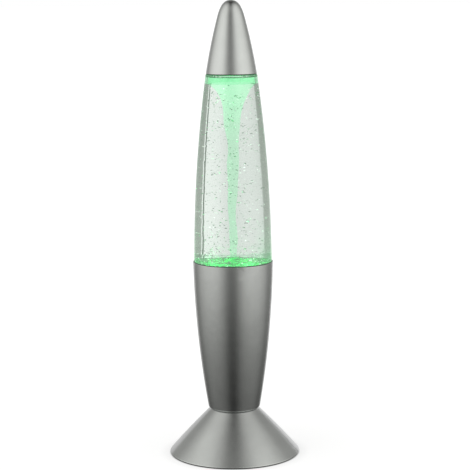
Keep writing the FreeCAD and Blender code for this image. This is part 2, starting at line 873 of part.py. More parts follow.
def armature_windings():
    """One coil round each pole."""
    low = armature_z - winding_overhang
    high = armature_z + armature_length + winding_overhang
    outer = armature_radius - pole_shoe - press_gap
    coils = []
    for bearing in (0, 120, 240):
        coil = block((winding_reach, outer), (-winding_half_width, winding_half_width), (low, high))
        coil = coil.cut(pole(pole_width + 2 * press_gap, armature_z - press_gap,
                             armature_z + armature_length + press_gap))
        coil = coil.common(rod(point(0, low), outer, high - low))
        coil.rotate(ORIGIN, UP, bearing)
        coils.append(coil)
    return Part.makeCompound(coils)


def motor_commutator():
    """The copper commutator on the shaft."""
    return ring(shaft_radius + press_gap, commutator_radius, commutator_z, commutator_z + commutator_length)


def magnet_carrier():
    """The disc on the shaft that carries the two drive magnets."""
    hub_bottom = carrier_bottom_z - carrier_hub_length
    disc = rod(point(0, carrier_bottom_z), carrier_radius, carrier_thickness)
    hub = rod(point(0, hub_bottom), carrier_hub_radius, carrier_hub_length)
    bore = rod(point(0, hub_bottom), shaft_radius + press_gap, shaft_top_z + press_gap - hub_bottom)
    pockets = holes(drive_magnet_radius + press_gap, drive_magnet_circle, (0, 180),
                    carrier_top_z - drive_magnet_height, carrier_top_z)
    return without(joined(disc, hub), bore, pockets)


def drive_magnet(bearing):
    """A disc magnet in the carrier, flush with its top."""
    return rod(at(drive_magnet_circle, bearing, carrier_top_z - drive_magnet_height),
               drive_magnet_radius, drive_magnet_height)


def bottle_body():
    """The clear bottle: an insert that sits in the barrel, a shoulder over its rim, the side and the neck."""
    insert = barrel_wall + slip_gap
    shoulder_z = barrel_top_z + shoulder_gap
    inner_low_z = barrel_top_z - shoulder_blend
    inner_high_z = barrel_top_z + shoulder_blend
    body = turned(
        (0, bottle_bottom_z),
        barrel.edge(bottle_bottom_z, barrel_top_z, insert),
        (barrel.radius(barrel_top_z, insert), shoulder_z),
        bottle.edge(shoulder_z, bottle_top_z),
        (neck_radius, bottle_top_z),
        (neck_radius, neck_top_z),
        (neck_bore, neck_top_z),
        (neck_bore, bottle_top_z - bottle_wall),
        bottle.edge(bottle_top_z - bottle_wall, inner_high_z, bottle_wall),
        barrel.edge(inner_low_z, bottle_floor_z, insert + bottle_wall),
        (pin_boss_radius, bottle_floor_z),
        (pin_boss_radius, bottle_floor_z + pin_boss_height),
        (0, bottle_floor_z + pin_boss_height),
    )
    foot_edge = is_circle(barrel.radius(bottle_bottom_z, insert), bottle_bottom_z)
    body = rounded(body, bottle_heel_round, foot_edge)
    body = rounded(body, edge_round, is_circle(bottle_high_radius, bottle_top_z))
    pin_hole = rod(point(0, bottle_floor_z - impeller_pin_depth), impeller_pin_radius + press_gap,
                   impeller_pin_depth + pin_boss_height)
    return body.cut(pin_hole)


def vortex_radius(z):
    """Radius of the air core at a height: a free vortex, whose depth falls with the square of the radius."""
    return math.sqrt(vortex_strength / (vortex_top_z - z))


def vortex_wall_z():
    """Where the vortex's surface meets the bottle's inside."""
    z = vortex_top_z - 1
    for _ in range(20):
        inner = bottle.radius(z, bottle_wall + liquid_gap)
        z = vortex_top_z - vortex_strength / inner ** 2
    return z


def liquid_body():
    """The liquid, with the vortex's air core and room for the impeller."""
    side = bottle_wall + liquid_gap
    insert = barrel_wall + slip_gap + side
    low = bottle_floor_z + liquid_gap
    inner_low_z = barrel_top_z - shoulder_blend
    inner_high_z = barrel_top_z + shoulder_blend
    wall_z = vortex_wall_z()
    depths = [vortex_top_z - impeller_room_z, vortex_top_z - wall_z]
    ratio = (depths[1] / depths[0]) ** (1 / (vortex_points - 1))
    levels = [vortex_top_z - depths[0] * ratio ** step for step in range(vortex_points)]
    surface = Part.BSplineCurve()
    surface.interpolate([point(vortex_radius(z), z) for z in reversed(levels)])
    return turned(
        (impeller_room_radius, low),
        barrel.edge(low, inner_low_z, insert),
        bottle.edge(inner_high_z, wall_z, side),
        surface.toShape(),
        (impeller_room_radius, impeller_room_z),
    )


def filler_plug():
    """The stopper in the neck."""
    flange_z = neck_top_z + seal_thickness
    shank = rod(point(0, neck_top_z - plug_depth), neck_bore - assembly_gap, plug_depth + seal_thickness)
    flange = rod(point(0, flange_z), neck_bore + plug_rim, plug_height)
    return rounded(joined(shank, flange), edge_round, is_circle(neck_bore + plug_rim, flange_z + plug_height))


def plug_seal():
    """The rubber washer under the stopper."""
    return ring(neck_bore, neck_bore + plug_rim, neck_top_z, neck_top_z + seal_thickness)


def impeller():
    """The stirrer: a disc with two magnet pockets, a hub and paddles."""
    disc = rod(point(0, impeller_z), impeller_disc_radius, impeller_disc)
    hub = rod(point(0, impeller_disc_top_z), impeller_hub_radius, impeller_hub)
    paddles = []
    for number in range(blade_count):
        paddle = block((0, blade_reach), (-blade_thickness / 2, blade_thickness / 2),
                       (impeller_disc_top_z, impeller_disc_top_z + blade_height))
        paddle.rotate(ORIGIN, UP, blade_bearing + number * 360 / blade_count)
        paddles.append(paddle)
    bore_height = impeller_disc + max(impeller_hub, blade_height)
    bore = rod(point(0, impeller_z), impeller_pin_radius + running_gap, bore_height)
    clip_room = rod(point(0, impeller_top_z), impeller_hub_radius, bore_height)
    pockets = holes(impeller_magnet_radius + press_gap, drive_magnet_circle, (0, 180),
                    impeller_z, impeller_z + impeller_magnet_height)
    return without(joined(disc, hub, *paddles), bore, clip_room, pockets)


def impeller_magnet(bearing):
    """A disc magnet in the impeller, over a drive magnet."""
    return rod(at(drive_magnet_circle, bearing, impeller_z), impeller_magnet_radius, impeller_magnet_height)


def impeller_pin():
    """The steel pin that the impeller turns on, pressed into the bottle's floor."""
    low = bottle_floor_z - impeller_pin_depth
    return rod(point(0, low), impeller_pin_radius, clip_z + 2 * clip_thickness - low)


def impeller_clip():
    """The clip that keeps the impeller on its pin."""
    return ring(impeller_pin_radius + press_gap, clip_radius, clip_z, clip_z + clip_thickness)


def cap_tip(inset, upwards):
    """The rounded point of the cap, or of its inside, as one curve that starts along the side's slope."""
    scale = cap.radius(cap_shoulder_z, inset) / cap.radius(cap_shoulder_z)
    start = point(cap.radius(cap_shoulder_z, inset), cap_shoulder_z)
    poles = [
        start,
        start + cap.tangent(cap_shoulder_z) * (cap_tip_reach * scale),
        point(cap_tip_flat * scale, cap_top_z - inset),
        point(0, cap_top_z - inset),
    ]
    curve = Part.BezierCurve()
    curve.setPoles(poles if upwards else poles[::-1])
    return curve.toShape()


def cap_shell():
    """The pointed cap, hollow and open underneath."""
    shell = turned(
        cap.edge(cap_sole_z, cap_shoulder_z),
        cap_tip(0, True),
        cap_tip(cap_wall, False),
        cap.edge(cap_shoulder_z, cap_sole_z, cap_wall),
    )
    return rounded(shell, cap_wall / 4, is_circle(cap.radius(cap_sole_z), cap_sole_z))


def cap_liner():
    """The plastic ring inside the cap that grips the bottle's neck."""
    low = cap_sole_z + liner_rise
    high = low + liner_height
    inner = neck_radius + slip_gap
    return turned((inner, low), cap.edge(low, high, cap_wall + press_gap), (inner, high))


def lead(name, places):
    """A wire: straight runs joined by tangent arcs. Prints the bend radii and checks the volume."""
    edges = []
    radii = []
    start = places[0]
    for before, corner, after in zip(places, places[1:], places[2:]):
        arriving = corner - before
        leaving = after - corner
        half_turn = arriving.getAngle(leaving) / 2
        cut = 0.45 * min(arriving.Length, leaving.Length)
        radius = cut / math.tan(half_turn)
        radii.append(radius)
        arriving.normalize()
        leaving.normalize()
        inwards = leaving - arriving
        inwards.normalize()
        middle = corner + inwards * (radius / math.cos(half_turn) - radius)
        bend_start = corner - arriving * cut
        bend_end = corner + leaving * cut
        edges.append(Part.makeLine(start, bend_start))
        edges.append(Part.Arc(bend_start, middle, bend_end).toShape())
        start = bend_end
    edges.append(Part.makeLine(start, places[-1]))
    path = Part.Wire(edges)
    section = Part.Wire(Part.makeCircle(lead_radius, places[0], places[1] - places[0]))
    wire = path.makePipeShell([section], True, False)
    expected = math.pi * lead_radius ** 2 * path.Length
    if abs(wire.Volume / expected - 1) > 0.01:
        raise ValueError(f"{name}: volume {wire.Volume:.1f}, expected {expected:.1f}")
    print(name, "bend radii", [round(radius, 1) for radius in radii])
    return wire


def tab_face(number, side):
    """The inner face of a contact's solder tab, just over the tray's roof."""
    y = side * (tray_half_length - contact_thickness)
    return FreeCAD.Vector(cell_x(number), y, tray_roof_z + contact_tab_height / 2 + press_gap)


def switch_tag(number):
    """The top of one of the switch's solder tags."""
    return FreeCAD.Vector(switch_x, number * terminal_pitch, housing_top_z + terminal_height)


def board_pad(bearing):
    """Where a wire meets the underside of the light board."""
    return at(lead_circle, bearing, board_bottom_z)


def lead_battery_positive():
    """From the last cell's contact over the tray to the switch."""
    start = tab_face(3, 1)
    end = switch_tag(1)
    return lead("lead_battery_positive", [
        start,
        start + FreeCAD.Vector(0, -6.4, 0),
        FreeCAD.Vector(17.0, 11.6, tray_roof_z + 4.6),
        end + FreeCAD.Vector(0, 0, 8.2),
        end,
    ])


def lead_switched():
    """From the switch up through the spigot, past the motor, to the light board."""
    start = switch_tag(0)
    end = board_pad(60)
    return lead("lead_switched", [
        start,
        start + FreeCAD.Vector(0, 0, 7.4),
        FreeCAD.Vector(17.6, 1.0, tray_roof_z + 6.4),
        FreeCAD.Vector(7.8, 2.2, tray_roof_z + 9.0),
        FreeCAD.Vector(4.9, 3.4, barrel_floor_z),
        FreeCAD.Vector(5.4, 5.2, barrel_floor_z + 21),
        FreeCAD.Vector(7.0, 10.4, board_bottom_z - 38),
        end - FreeCAD.Vector(0, 0, 19),
        end,
    ])


def lead_battery_negative():
    """From the first cell's contact up through the spigot, past the motor, to the light board."""
    start = tab_face(1, -1)
    end = board_pad(120)
    return lead("lead_battery_negative", [
        start,
        start + FreeCAD.Vector(0, 6.2, 0),
        FreeCAD.Vector(-8.4, -12.0, tray_roof_z + 4.0),
        FreeCAD.Vector(-4.2, -5.2, tray_roof_z + 9.6),
        FreeCAD.Vector(-4.6, 0.6, barrel_floor_z + 3),
        FreeCAD.Vector(-5.6, 4.6, barrel_floor_z + 21),
        FreeCAD.Vector(-7.2, 10.6, board_bottom_z - 38),
        end - FreeCAD.Vector(0, 0, 19),
        end,
    ])


def motor_lead(name, side, bearing):
    """From the light board down past the motor and up into one of its solder tags."""
    start = board_pad(bearing)
    end = FreeCAD.Vector(side * strip_offset, 0, end_cap_bottom_z - motor_terminal_length)
    return lead(name, [
        start,
        start - FreeCAD.Vector(0, 0, 20),
        FreeCAD.Vector(side * 7.3, -12.0, end.z - 3),
        FreeCAD.Vector(side * 6.4, -9.2, end.z - 15.5),
        end - FreeCAD.Vector(0, 0, 14.5),
        end,
    ])


def seat(place, numbers, maker):
    """Numbered copies of a piece."""
    return {f"{place}_{number}": maker(value) for number, value in enumerate(numbers, 1)}


pieces = {
    "foot_shell": foot_shell(),
    "barrel_shell": barrel_shell(),
    "base_plate": base_plate(),
    "battery_door": battery_door(),
    "battery_springs": battery_springs(),
    "contact_plates": contact_plates(),
    "switch_housing": switch_housing(),
    "switch_terminals": switch_terminals(),
    "switch_knob": switch_knob(),
    "switch_screws": switch_screws(),
    "base_screws": screws(base_screw, base_screw_circle, base_screw_bearings,
                          plate_bottom_z + screw_recess, True),
    "barrel_screws": screws(barrel_screw, barrel_screw_circle, barrel_screw_bearings, flange_bottom_z, True),
    "lamp_chassis": lamp_chassis(),
    "bottle_seat_ring": bottle_seat_ring(),
    "chassis_screws": screws(chassis_screw, chassis_screw_circle, chassis_screw_bearings,
                             chassis_top_z, False),
    "led_board": led_board(),
    "board_screws": screws(board_screw, board_screw_circle, board_screw_bearings, board_top_z, False),
    "controller_chip": board_part(chip_size, 180),
    "board_resistors": Part.makeCompound([board_part(resistor_size, b) for b in resistor_bearings]),
    "motor_can": motor_can(),
    "motor_end_cap": motor_end_cap(),
    "motor_terminals": motor_terminals(),
    "motor_bushings": motor_bushings(),
    "motor_screws": screws(motor_screw, motor_screw_offset, (0, 180), chassis_top_z, False),
    "motor_shaft": motor_shaft(),
    "motor_armature": motor_armature(),
    "armature_windings": armature_windings(),
    "motor_commutator": motor_commutator(),
    "magnet_carrier": magnet_carrier(),
    "bottle": bottle_body(),
    "liquid": liquid_body(),
    "filler_plug": filler_plug(),
    "plug_seal": plug_seal(),
    "impeller": impeller(),
    "impeller_pin": impeller_pin(),
    "impeller_clip": impeller_clip(),
    "cap_shell": cap_shell(),
    "cap_liner": cap_liner(),
    "lead_battery_positive": lead_battery_positive(),
    "lead_switched": lead_switched(),
    "lead_battery_negative": lead_battery_negative(),
    "motor_lead_red": motor_lead("motor_lead_red", 1, 300),
    "motor_lead_black": motor_lead("motor_lead_black", -1, 240),
}
pieces.update(seat("rubber_foot", rubber_bearings, rubber_foot))
pieces.update(seat("battery_cell", (1, 2, 3), battery_cell))
pieces.update(seat("led", led_bearings, led))
pieces.update(seat("motor_magnet", (0, 180), field_magnet))
pieces.update(seat("drive_magnet", (0, 180), drive_magnet))
pieces.update(seat("impeller_magnet", (0, 180), impeller_magnet))

os.makedirs("parts", exist_ok=True)
for name, shape in pieces.items():
    if not shape.isValid() or not shape.Solids:
        raise ValueError(f"{name} isn't a valid solid")
    shape.exportStep(f"parts/{name}.step")
print(len(pieces), "nodes")
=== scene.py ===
import math
import random

import bpy
from bpy.props import FloatProperty, FloatVectorProperty, IntProperty, PointerProperty
from bpy.types import Operator, Panel, PropertyGroup
from mathutils import Matrix, Vector


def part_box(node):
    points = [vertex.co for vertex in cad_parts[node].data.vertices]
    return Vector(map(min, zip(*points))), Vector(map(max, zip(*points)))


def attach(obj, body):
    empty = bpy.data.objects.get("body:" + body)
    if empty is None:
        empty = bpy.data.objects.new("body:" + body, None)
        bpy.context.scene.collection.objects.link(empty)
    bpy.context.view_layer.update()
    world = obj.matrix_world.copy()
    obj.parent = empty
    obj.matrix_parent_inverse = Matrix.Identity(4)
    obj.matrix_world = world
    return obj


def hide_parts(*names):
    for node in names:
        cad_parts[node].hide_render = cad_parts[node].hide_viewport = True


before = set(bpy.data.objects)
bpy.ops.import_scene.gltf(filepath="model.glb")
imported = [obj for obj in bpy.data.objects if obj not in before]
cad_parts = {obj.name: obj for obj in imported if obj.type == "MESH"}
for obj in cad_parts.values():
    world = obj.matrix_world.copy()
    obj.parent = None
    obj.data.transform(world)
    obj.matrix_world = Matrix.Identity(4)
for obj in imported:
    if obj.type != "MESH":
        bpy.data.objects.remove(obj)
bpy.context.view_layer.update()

bl_info = {
    "name": "Glitter vortex lamp",
    "version": (1, 0, 0),
    "blender": (4, 5, 0),
    "location": "View3D > Sidebar > Lamp",
    "description": "Adds the liquid, glitter, lights, small parts and finishes to a glitter vortex lamp",
    "category": "Object",
}

MM = 0.001
SMOOTH_ANGLE = math.radians(35)
TURNED_SIDES = 96
SMALL_SIDES = 24

# Levels and radii shared with the frame, in millimetres.
PLATE_BOTTOM_Z = 2.0
CELL_AXIS_Z = 9.65
CELL_PITCH = 11.2
BOARD_BOTTOM_Z = 117.6
BOARD_TOP_Z = 118.8
LED_TOP_Z = 127.4
LED_CIRCLE = 13.8
LED_PITCH = 1.27
PIPED_SHARE = 0.25
LED_BEARINGS = (30, 150, 270)
BARREL_TOP_Z = 148.8
BARREL_FLOOR_Z = 35.75
BOTTLE_FLOOR_Z = 131.0
BOTTLE_TOP_Z = 290.2
BOTTLE_WALL = 2.2
INSERT_GAP = 1.8
SHOULDER_BLEND = 2.4
VORTEX_TOP_Z = 285.0
VORTEX_LOW_Z = 141.2
SWITCH_X = 25.5
MARK_RING = 43.6

# The vortex's shape: its ripples as shares of its radius, its waves in millimetres.
VORTEX_RIPPLE = 0.07
VORTEX_SWELL = 0.08
RIPPLED_BELOW_RADIUS = 12
VORTEX_LOW_SHARE = 0.84
VORTEX_LOW_SPAN = 60
VORTEX_LEAN_START = 0.1
VORTEX_LEAN_TOP_Z = 275
VORTEX_FADE = 7

# Where the liquid has painted green light, in millimetres: low in the bottle and up its +X side.
PAINTED_GLOW_BAND_Z = (151, 153.2)
PAINTED_GLOW_SIDE_X = (15, 25)
PAINTED_GLOW_SIDE_Z = (154, 186)

# The camera, and the floor's painted shadow under and next to the foot, in metres.
CAMERA_AIM = (1.65 * MM, 0, 168.7 * MM)
CAMERA_PLACE = (1.65 * MM, -1.190, 350.7 * MM)
FLOOR_RADIUS = 40
FLOOR_MIDDLE_RADIUS = 2
FLOOR_LOWER = 0.02 * MM
PAINTED_SHADOW_UNDER_FOOT = (0.0485, 0.0503)
PAINTED_SHADOW_NEAR_FOOT = (0.050, 0.058)


class Outline:
    """One arc of a turned outline, in millimetres, bulging outwards from its chord."""

    def __init__(self, low_radius, low_z, high_radius, high_z, bulge):
        rise = high_z - low_z
        run = high_radius - low_radius
        chord = math.hypot(rise, run)
        self.arc_radius = chord ** 2 / (8 * bulge) + bulge / 2
        offset = self.arc_radius - bulge
        self.centre_r = (low_radius + high_radius) / 2 - offset * rise / chord
        self.centre_z = (low_z + high_z) / 2 + offset * run / chord

    def radius(self, z, inset=0.0):
        """Radius at a height, or of a wall further in."""
        reach = self.arc_radius - inset
        return self.centre_r + math.sqrt(reach ** 2 - (z - self.centre_z) ** 2)


barrel = Outline(19.57, BARREL_FLOOR_Z, 30.35, BARREL_TOP_Z, 2.22)
bottle = Outline(29.5, BARREL_TOP_Z, 19.34, BOTTLE_TOP_Z, 2.32)


def bottle_inside(z):
    """Radius of the bottle's inside at a height, in millimetres."""
    low_z = BARREL_TOP_Z - SHOULDER_BLEND
    high_z = BARREL_TOP_Z + SHOULDER_BLEND
    low_radius = barrel.radius(low_z, INSERT_GAP + BOTTLE_WALL)
    high_radius = bottle.radius(high_z, BOTTLE_WALL)
    if z <= low_z:
        return barrel.radius(z, INSERT_GAP + BOTTLE_WALL)
    if z >= high_z:
        return bottle.radius(z, BOTTLE_WALL)
    return low_radius + (high_radius - low_radius) * (z - low_z) / (high_z - low_z)


# ---------------------------------------------------------------- settings


def colour_property(label, text, default):
    """A colour setting."""
    return FloatVectorProperty(
        name=label, description=text, subtype="COLOR", size=3, min=0, max=1, default=default
    )


def length_property(label, text, default):
    """A length setting in metres."""
    return FloatProperty(
        name=label, description=text, subtype="DISTANCE", unit="LENGTH", min=0, default=default
    )


class LampSizes(PropertyGroup):
    """Sizes that a user may change."""

    liquid_overlap: length_property(
        "Liquid overlap", "How far the liquid reaches into the bottle's wall", 0.1 * MM
    )
    vortex_lean: length_property("Vortex lean", "How far the vortex leans to one side", 0.9 * MM)
    flake_radius: length_property("Flake radius", "Radius of a glitter flake", 0.38 * MM)
    flake_thickness: length_property("Flake thickness", "Thickness of a glitter flake", 0.06 * MM)
    spring_wire: length_property("Spring wire", "Diameter of the contact springs' wire", 0.6 * MM)
    rib_height: length_property("Rib height", "How far the moulded ribs stand out", 0.35 * MM)
    lens_length: FloatProperty(
        name="Lens", description="Focal length of the camera, in millimetres", min=1, default=121.75
    )
    camera_roll: FloatProperty(
        name="Camera roll", description="How far the camera is turned about its view",
        subtype="ANGLE", unit="ROTATION", default=math.radians(0.5),
    )
    vortex_strength: FloatProperty(
        name="Vortex strength", min=1, default=600.0,
        description="Depth times squared radius of the vortex, in cubic millimetres",
    )
    flake_count: IntProperty(name="Flakes", description="Glitter flakes afloat", min=0, default=1300)
    settled_count: IntProperty(
        name="Settled flakes", description="Flakes low in the bottle", min=0, default=480
    )
    lamp_power: FloatProperty(
        name="Lamp power", description="Power of each green light", unit="POWER", min=0, default=0.011
    )


class LampColours(PropertyGroup):
    """Colours that a user may change."""

    silver: colour_property("Silver", "Lacquer of the foot, barrel and cap", (0.60, 0.61, 0.605))
    light: colour_property("Light", "Colour of the lights under the bottle", (0.09, 1.0, 0.24))
    # The vortex's and the film's green tints are painted green light from the lamps below.
    vortex: colour_property("Vortex", "Tint of the vortex's surface", (0.70, 0.98, 0.78))
    film: colour_property("Film", "Tint of the film above the liquid", (0.62, 1.0, 0.74))
    sleeve: colour_property("Sleeve", "Colour of the cells' sleeves", (0.03, 0.10, 0.16))
    board: colour_property("Board", "Colour of the light board's mask", (0.01, 0.16, 0.05))


def sizes():
    return bpy.context.scene.lamp_sizes


def colours():
    return bpy.context.scene.lamp_colours


# ---------------------------------------------------------------- modelling helpers


def edit_all():
    """Enters edit mode with everything selected."""
    bpy.ops.object.mode_set(mode="EDIT")
    bpy.ops.mesh.select_all(action="SELECT")


def leave_edit():
    bpy.ops.object.mode_set(mode="OBJECT")


def clear_selection():
    """Leaves edit mode and selects nothing."""
    if bpy.context.object and bpy.context.object.mode != "OBJECT":
        leave_edit()
    bpy.ops.object.select_all(action="DESELECT")


def select_only(objects):
    """Selects these objects and makes the first one active."""
    clear_selection()
    for item in objects:
        item.select_set(True)
    bpy.context.view_layer.objects.active = objects[0]


def finish_piece(piece, name, finish, smooth=True):
    """Names a piece, puts its place in its mesh and gives it a material."""
    if piece.mode == "EDIT":
        leave_edit()
    piece.name = name
    piece.data.name = name
    select_only([piece])
    bpy.ops.object.transform_apply()
    if smooth:
        bpy.ops.object.shade_smooth_by_angle(angle=SMOOTH_ANGLE)
    if finish is not None:
        piece.data.materials.clear()
        piece.data.materials.append(finish)
    return piece


def ring_stack(rings, sides=TURNED_SIDES, hollow=False):
    """A turned shape, drawn up ring by ring from a circle. Rings are (radius, z, x, y) in millimetres.

    A hollow stack ends on its first ring, so it closes on itself.
    """
    clear_selection()
    radius, z, x, y = rings[0]
    bpy.ops.mesh.primitive_circle_add(
        vertices=sides,
        radius=radius * MM,
        location=(x * MM, y * MM, z * MM),
        fill_type="NOTHING" if hollow else "NGON",
        enter_editmode=True,
    )
    for low, high in zip(rings, rings[1:]):
        shift = tuple((high[i] - low[i]) * MM for i in (2, 3, 1))
        bpy.ops.mesh.extrude_region_move(TRANSFORM_OT_translate={"value": shift})
        scale = high[0] / low[0]
        bpy.ops.transform.resize(
            value=(scale, scale, 1), center_override=(high[2] * MM, high[3] * MM, high[1] * MM)
        )
    bpy.ops.mesh.select_all(action="SELECT")
    bpy.ops.mesh.remove_doubles(threshold=1e-7)
    bpy.ops.mesh.normals_make_consistent(inside=False)
    leave_edit()
    return bpy.context.object


def plain_rings(points):
    """Rings about the lamp's axis from (radius, z) pairs."""
    return [(radius, z, 0.0, 0.0) for radius, z in points]


def bevelled_block(size, place, bevel):
    """A block with rounded edges, in millimetres."""
    clear_selection()
    bpy.ops.mesh.primitive_cube_add(size=1, location=[value * MM for value in place])
    piece = bpy.context.object
    piece.scale = [value * MM for value in size]
    bpy.ops.object.transform_apply()
    edit_all()
    bpy.ops.mesh.bevel(offset=bevel * MM, segments=3)
    leave_edit()
    return piece


def copied(piece, matrices):
    """Copies of a piece, each with its own mesh, joined into one object. The piece itself is removed."""
    copies = []
    for matrix in matrices:
        mesh = piece.data.copy()
        mesh.transform(matrix)
        copy = bpy.data.objects.new(piece.name, mesh)
        bpy.context.collection.objects.link(copy)
        copies.append(copy)
    bpy.data.objects.remove(piece, do_unlink=True)
    select_only(copies)
    bpy.ops.object.join()
    return bpy.context.object


def joined(pieces):
    """Several pieces as one object."""
    select_only(pieces)
    bpy.ops.object.join()
    return bpy.context.object


def polar(radius, bearing, z):
    """A place by distance from the axis and bearing in degrees, millimetres in and metres out."""
    turn = math.radians(bearing)
    return Vector((radius * math.cos(turn), radius * math.sin(turn), z)) * MM


# ---------------------------------------------------------------- finishes


class Nodes:
    """A node tree with short ways to add to it."""

    def __init__(self, tree):
        self.tree = tree

    def node(self, kind, **settings):
        made = self.tree.nodes.new(kind)
        for label, value in settings.items():
            setattr(made, label, value)
        return made

    def link(self, source, target):
        self.tree.links.new(source, target)

    def feed(self, slots, values):
        """Sets each slot to a plain value, or links it."""
        for slot, value in zip(slots, values):
            if isinstance(value, (int, float, tuple)):
                slot.default_value = value
            else:
                self.link(value, slot)

    def maths(self, operation, *values):
        """One sum of sockets or numbers."""
        made = self.node("ShaderNodeMath", operation=operation)
        self.feed(made.inputs, values)
        return made.outputs[0]

    def mixed(self, factor, first, second, blend_type="MIX"):
        """Two colours in one, by a value."""
        made = self.node("ShaderNodeMix", data_type="RGBA", blend_type=blend_type)
        shades = [slot for slot in made.inputs if slot.type == "RGBA"]
        self.feed((made.inputs["Factor"], *shades), (factor, first, second))
        return [slot for slot in made.outputs if slot.type == "RGBA"][0]


class Finish(Nodes):
    """A material with short ways to add its nodes. Patterns read Object coordinates."""

    def __init__(self, name, colour, roughness, metallic=0.0, **sockets):
        self.material = bpy.data.materials.new(name)
        self.material.use_nodes = True
        super().__init__(self.material.node_tree)
        self.shader = self.tree.nodes["Principled BSDF"]
        self.output = self.tree.nodes["Material Output"]
        self.set("Base Color", (*colour, 1.0))
        self.set("Roughness", roughness)
        self.set("Metallic", metallic)
        for label, value in sockets.items():
            self.set(label.replace("_", " "), value)
        self.place = self.node("ShaderNodeTexCoord").outputs["Object"]
        self.normal = None

    def set(self, label, value):
        self.shader.inputs[label].default_value = value

    def mapped(self, stretch=(1, 1, 1)):
        """Object coordinates, stretched."""
        mapping = self.node("ShaderNodeMapping")
        mapping.inputs["Scale"].default_value = stretch
        self.link(self.place, mapping.inputs["Vector"])
        return mapping.outputs["Vector"]

    def noise(self, scale, detail=3.0, roughness=0.5, stretch=(1, 1, 1)):
        """Cloudy noise, its scale in patches per metre."""
        texture = self.node("ShaderNodeTexNoise")
        texture.inputs["Scale"].default_value = scale
        texture.inputs["Detail"].default_value = detail
        texture.inputs["Roughness"].default_value = roughness
        self.link(self.mapped(stretch), texture.inputs["Vector"])
        return texture.outputs["Fac"]

    def cells(self, scale, output="Distance"):
        """Cell pattern, its scale in cells per metre."""
        texture = self.node("ShaderNodeTexVoronoi")
        texture.inputs["Scale"].default_value = scale
        self.link(self.place, texture.inputs["Vector"])
        return texture.outputs[output]

    def ranged(self, source, low, high, from_low=0.3, from_high=0.7):
        """A value stretched to a new range."""
        mapper = self.node("ShaderNodeMapRange")
        self.feed(mapper.inputs, (source, from_low, from_high, low, high))
        return mapper.outputs["Result"]

    def axis(self, letter):
        """One of the Object coordinates."""
        split = self.node("ShaderNodeSeparateXYZ")
        self.link(self.place, split.inputs[0])
        return split.outputs[letter]

    def from_axis(self):
        """Distance from the lamp's axis."""
        flat = self.node("ShaderNodeVectorMath", operation="MULTIPLY")
        self.feed(flat.inputs, (self.place, (1, 1, 0)))
        length = self.node("ShaderNodeVectorMath", operation="LENGTH")
        self.link(flat.outputs[0], length.inputs[0])
        return length.outputs["Value"]

    def blend(self, factor, *shades):
        """A colour between two, by a value."""
        return self.mixed(factor, *[(*s, 1.0) if isinstance(s, tuple) else s for s in shades])

    def paint(self, socket):
        self.link(socket, self.shader.inputs["Base Color"])

    def rough(self, source, low, high, from_low=0.3, from_high=0.7):
        self.link(self.ranged(source, low, high, from_low, from_high), self.shader.inputs["Roughness"])

    def shine(self, strength):
        """Light of its own, by a value."""
        self.link(strength, self.shader.inputs["Emission Strength"])

    def bump(self, height, strength, depth_mm):
        """Adds relief. Several may follow each other."""
        made = self.node("ShaderNodeBump")
        made.inputs["Strength"].default_value = strength
        made.inputs["Distance"].default_value = depth_mm * MM
        self.link(height, made.inputs["Height"])
        if self.normal is not None:
            self.link(self.normal, made.inputs["Normal"])
        self.normal = made.outputs["Normal"]
        self.link(self.normal, self.shader.inputs["Normal"])

    def gives_way(self, factor, clear):
        """Gives way to a clear shader, by a value."""
        mix = self.node("ShaderNodeMixShader")
        self.feed(mix.inputs, (factor, self.shader.outputs[0], clear.outputs[0]))
        self.link(mix.outputs[0], self.output.inputs["Surface"])

    def lets_light_through(self, tint):
        """Shadow rays pass, tinted, so that lights reach what is inside."""
        clear = self.node("ShaderNodeBsdfTransparent")
        clear.inputs["Color"].default_value = (*tint, 1.0)
        self.gives_way(self.node("ShaderNodeLightPath").outputs["Is Shadow Ray"], clear)
        return self


def toned(colour, factor):
    """A colour made lighter or darker."""
    return tuple(min(1.0, value * factor) for value in colour)


def satin_silver():
    """Satin metallic lacquer: fine flake, faint orange peel and a little cloudiness."""
    silver = tuple(colours().silver)
    made = Finish(
        "satin_silver", silver, 0.20, 1.0, Coat_Weight=0.2, Coat_Roughness=0.10, Coat_IOR=1.4
    )
    cloud = made.noise(60, 4)
    made.paint(made.blend(made.ranged(cloud, 0, 1), toned(silver, 0.96), toned(silver, 1.04)))
    made.rough(made.noise(220, 5, 0.6), 0.18, 0.23)
    made.bump(made.cells(4200), 0.025, 0.01)
    made.bump(made.noise(500, 2), 0.02, 0.02)
    return made.material


def moulded(name, colour, roughness, grain=1800, depth=0.04, strength=0.3, **sockets):
    """Moulded plastic or rubber with spark-eroded grain and slight shade changes."""
    made = Finish(name, colour, roughness, **sockets)
    cloud = made.noise(90, 4)
    made.paint(made.blend(made.ranged(cloud, 0, 1), toned(colour, 0.88), toned(colour, 1.10)))
    made.rough(made.noise(260, 4), roughness - 0.07, roughness + 0.08)
    made.bump(made.cells(grain), strength, depth)
    made.bump(made.noise(grain / 4, 3), strength * 0.5, depth)
    return made.material


def worked_metal(name, colour, roughness, stretch, tarnish=0.75, depth=0.01):
    """Bare metal with fine lines from its making, along one axis, and tarnish in patches."""
    made = Finish(name, colour, roughness, 1.0)
    patch = made.noise(160, 5, 0.6)
    made.paint(made.blend(made.ranged(patch, 0, 1), toned(colour, tarnish), colour))
    lines = made.noise(900, 3, 0.6, stretch)
    made.rough(lines, roughness * 0.75, roughness * 1.35)
    made.bump(lines, 0.35, depth)
    return made.material


def clear_plastic():
    """Clear acrylic with the faintest waviness."""
    made = Finish("clear_plastic", (1.0, 1.0, 1.0), 0.0, Transmission_Weight=1.0, IOR=1.49)
    made.bump(made.noise(35, 1), 0.02, 0.05)
    made.paint(made.blend(made.noise(50, 1), (0.985, 0.995, 0.99), (1.0, 1.0, 1.0)))
    return made.lets_light_through((0.96, 0.97, 0.96)).material


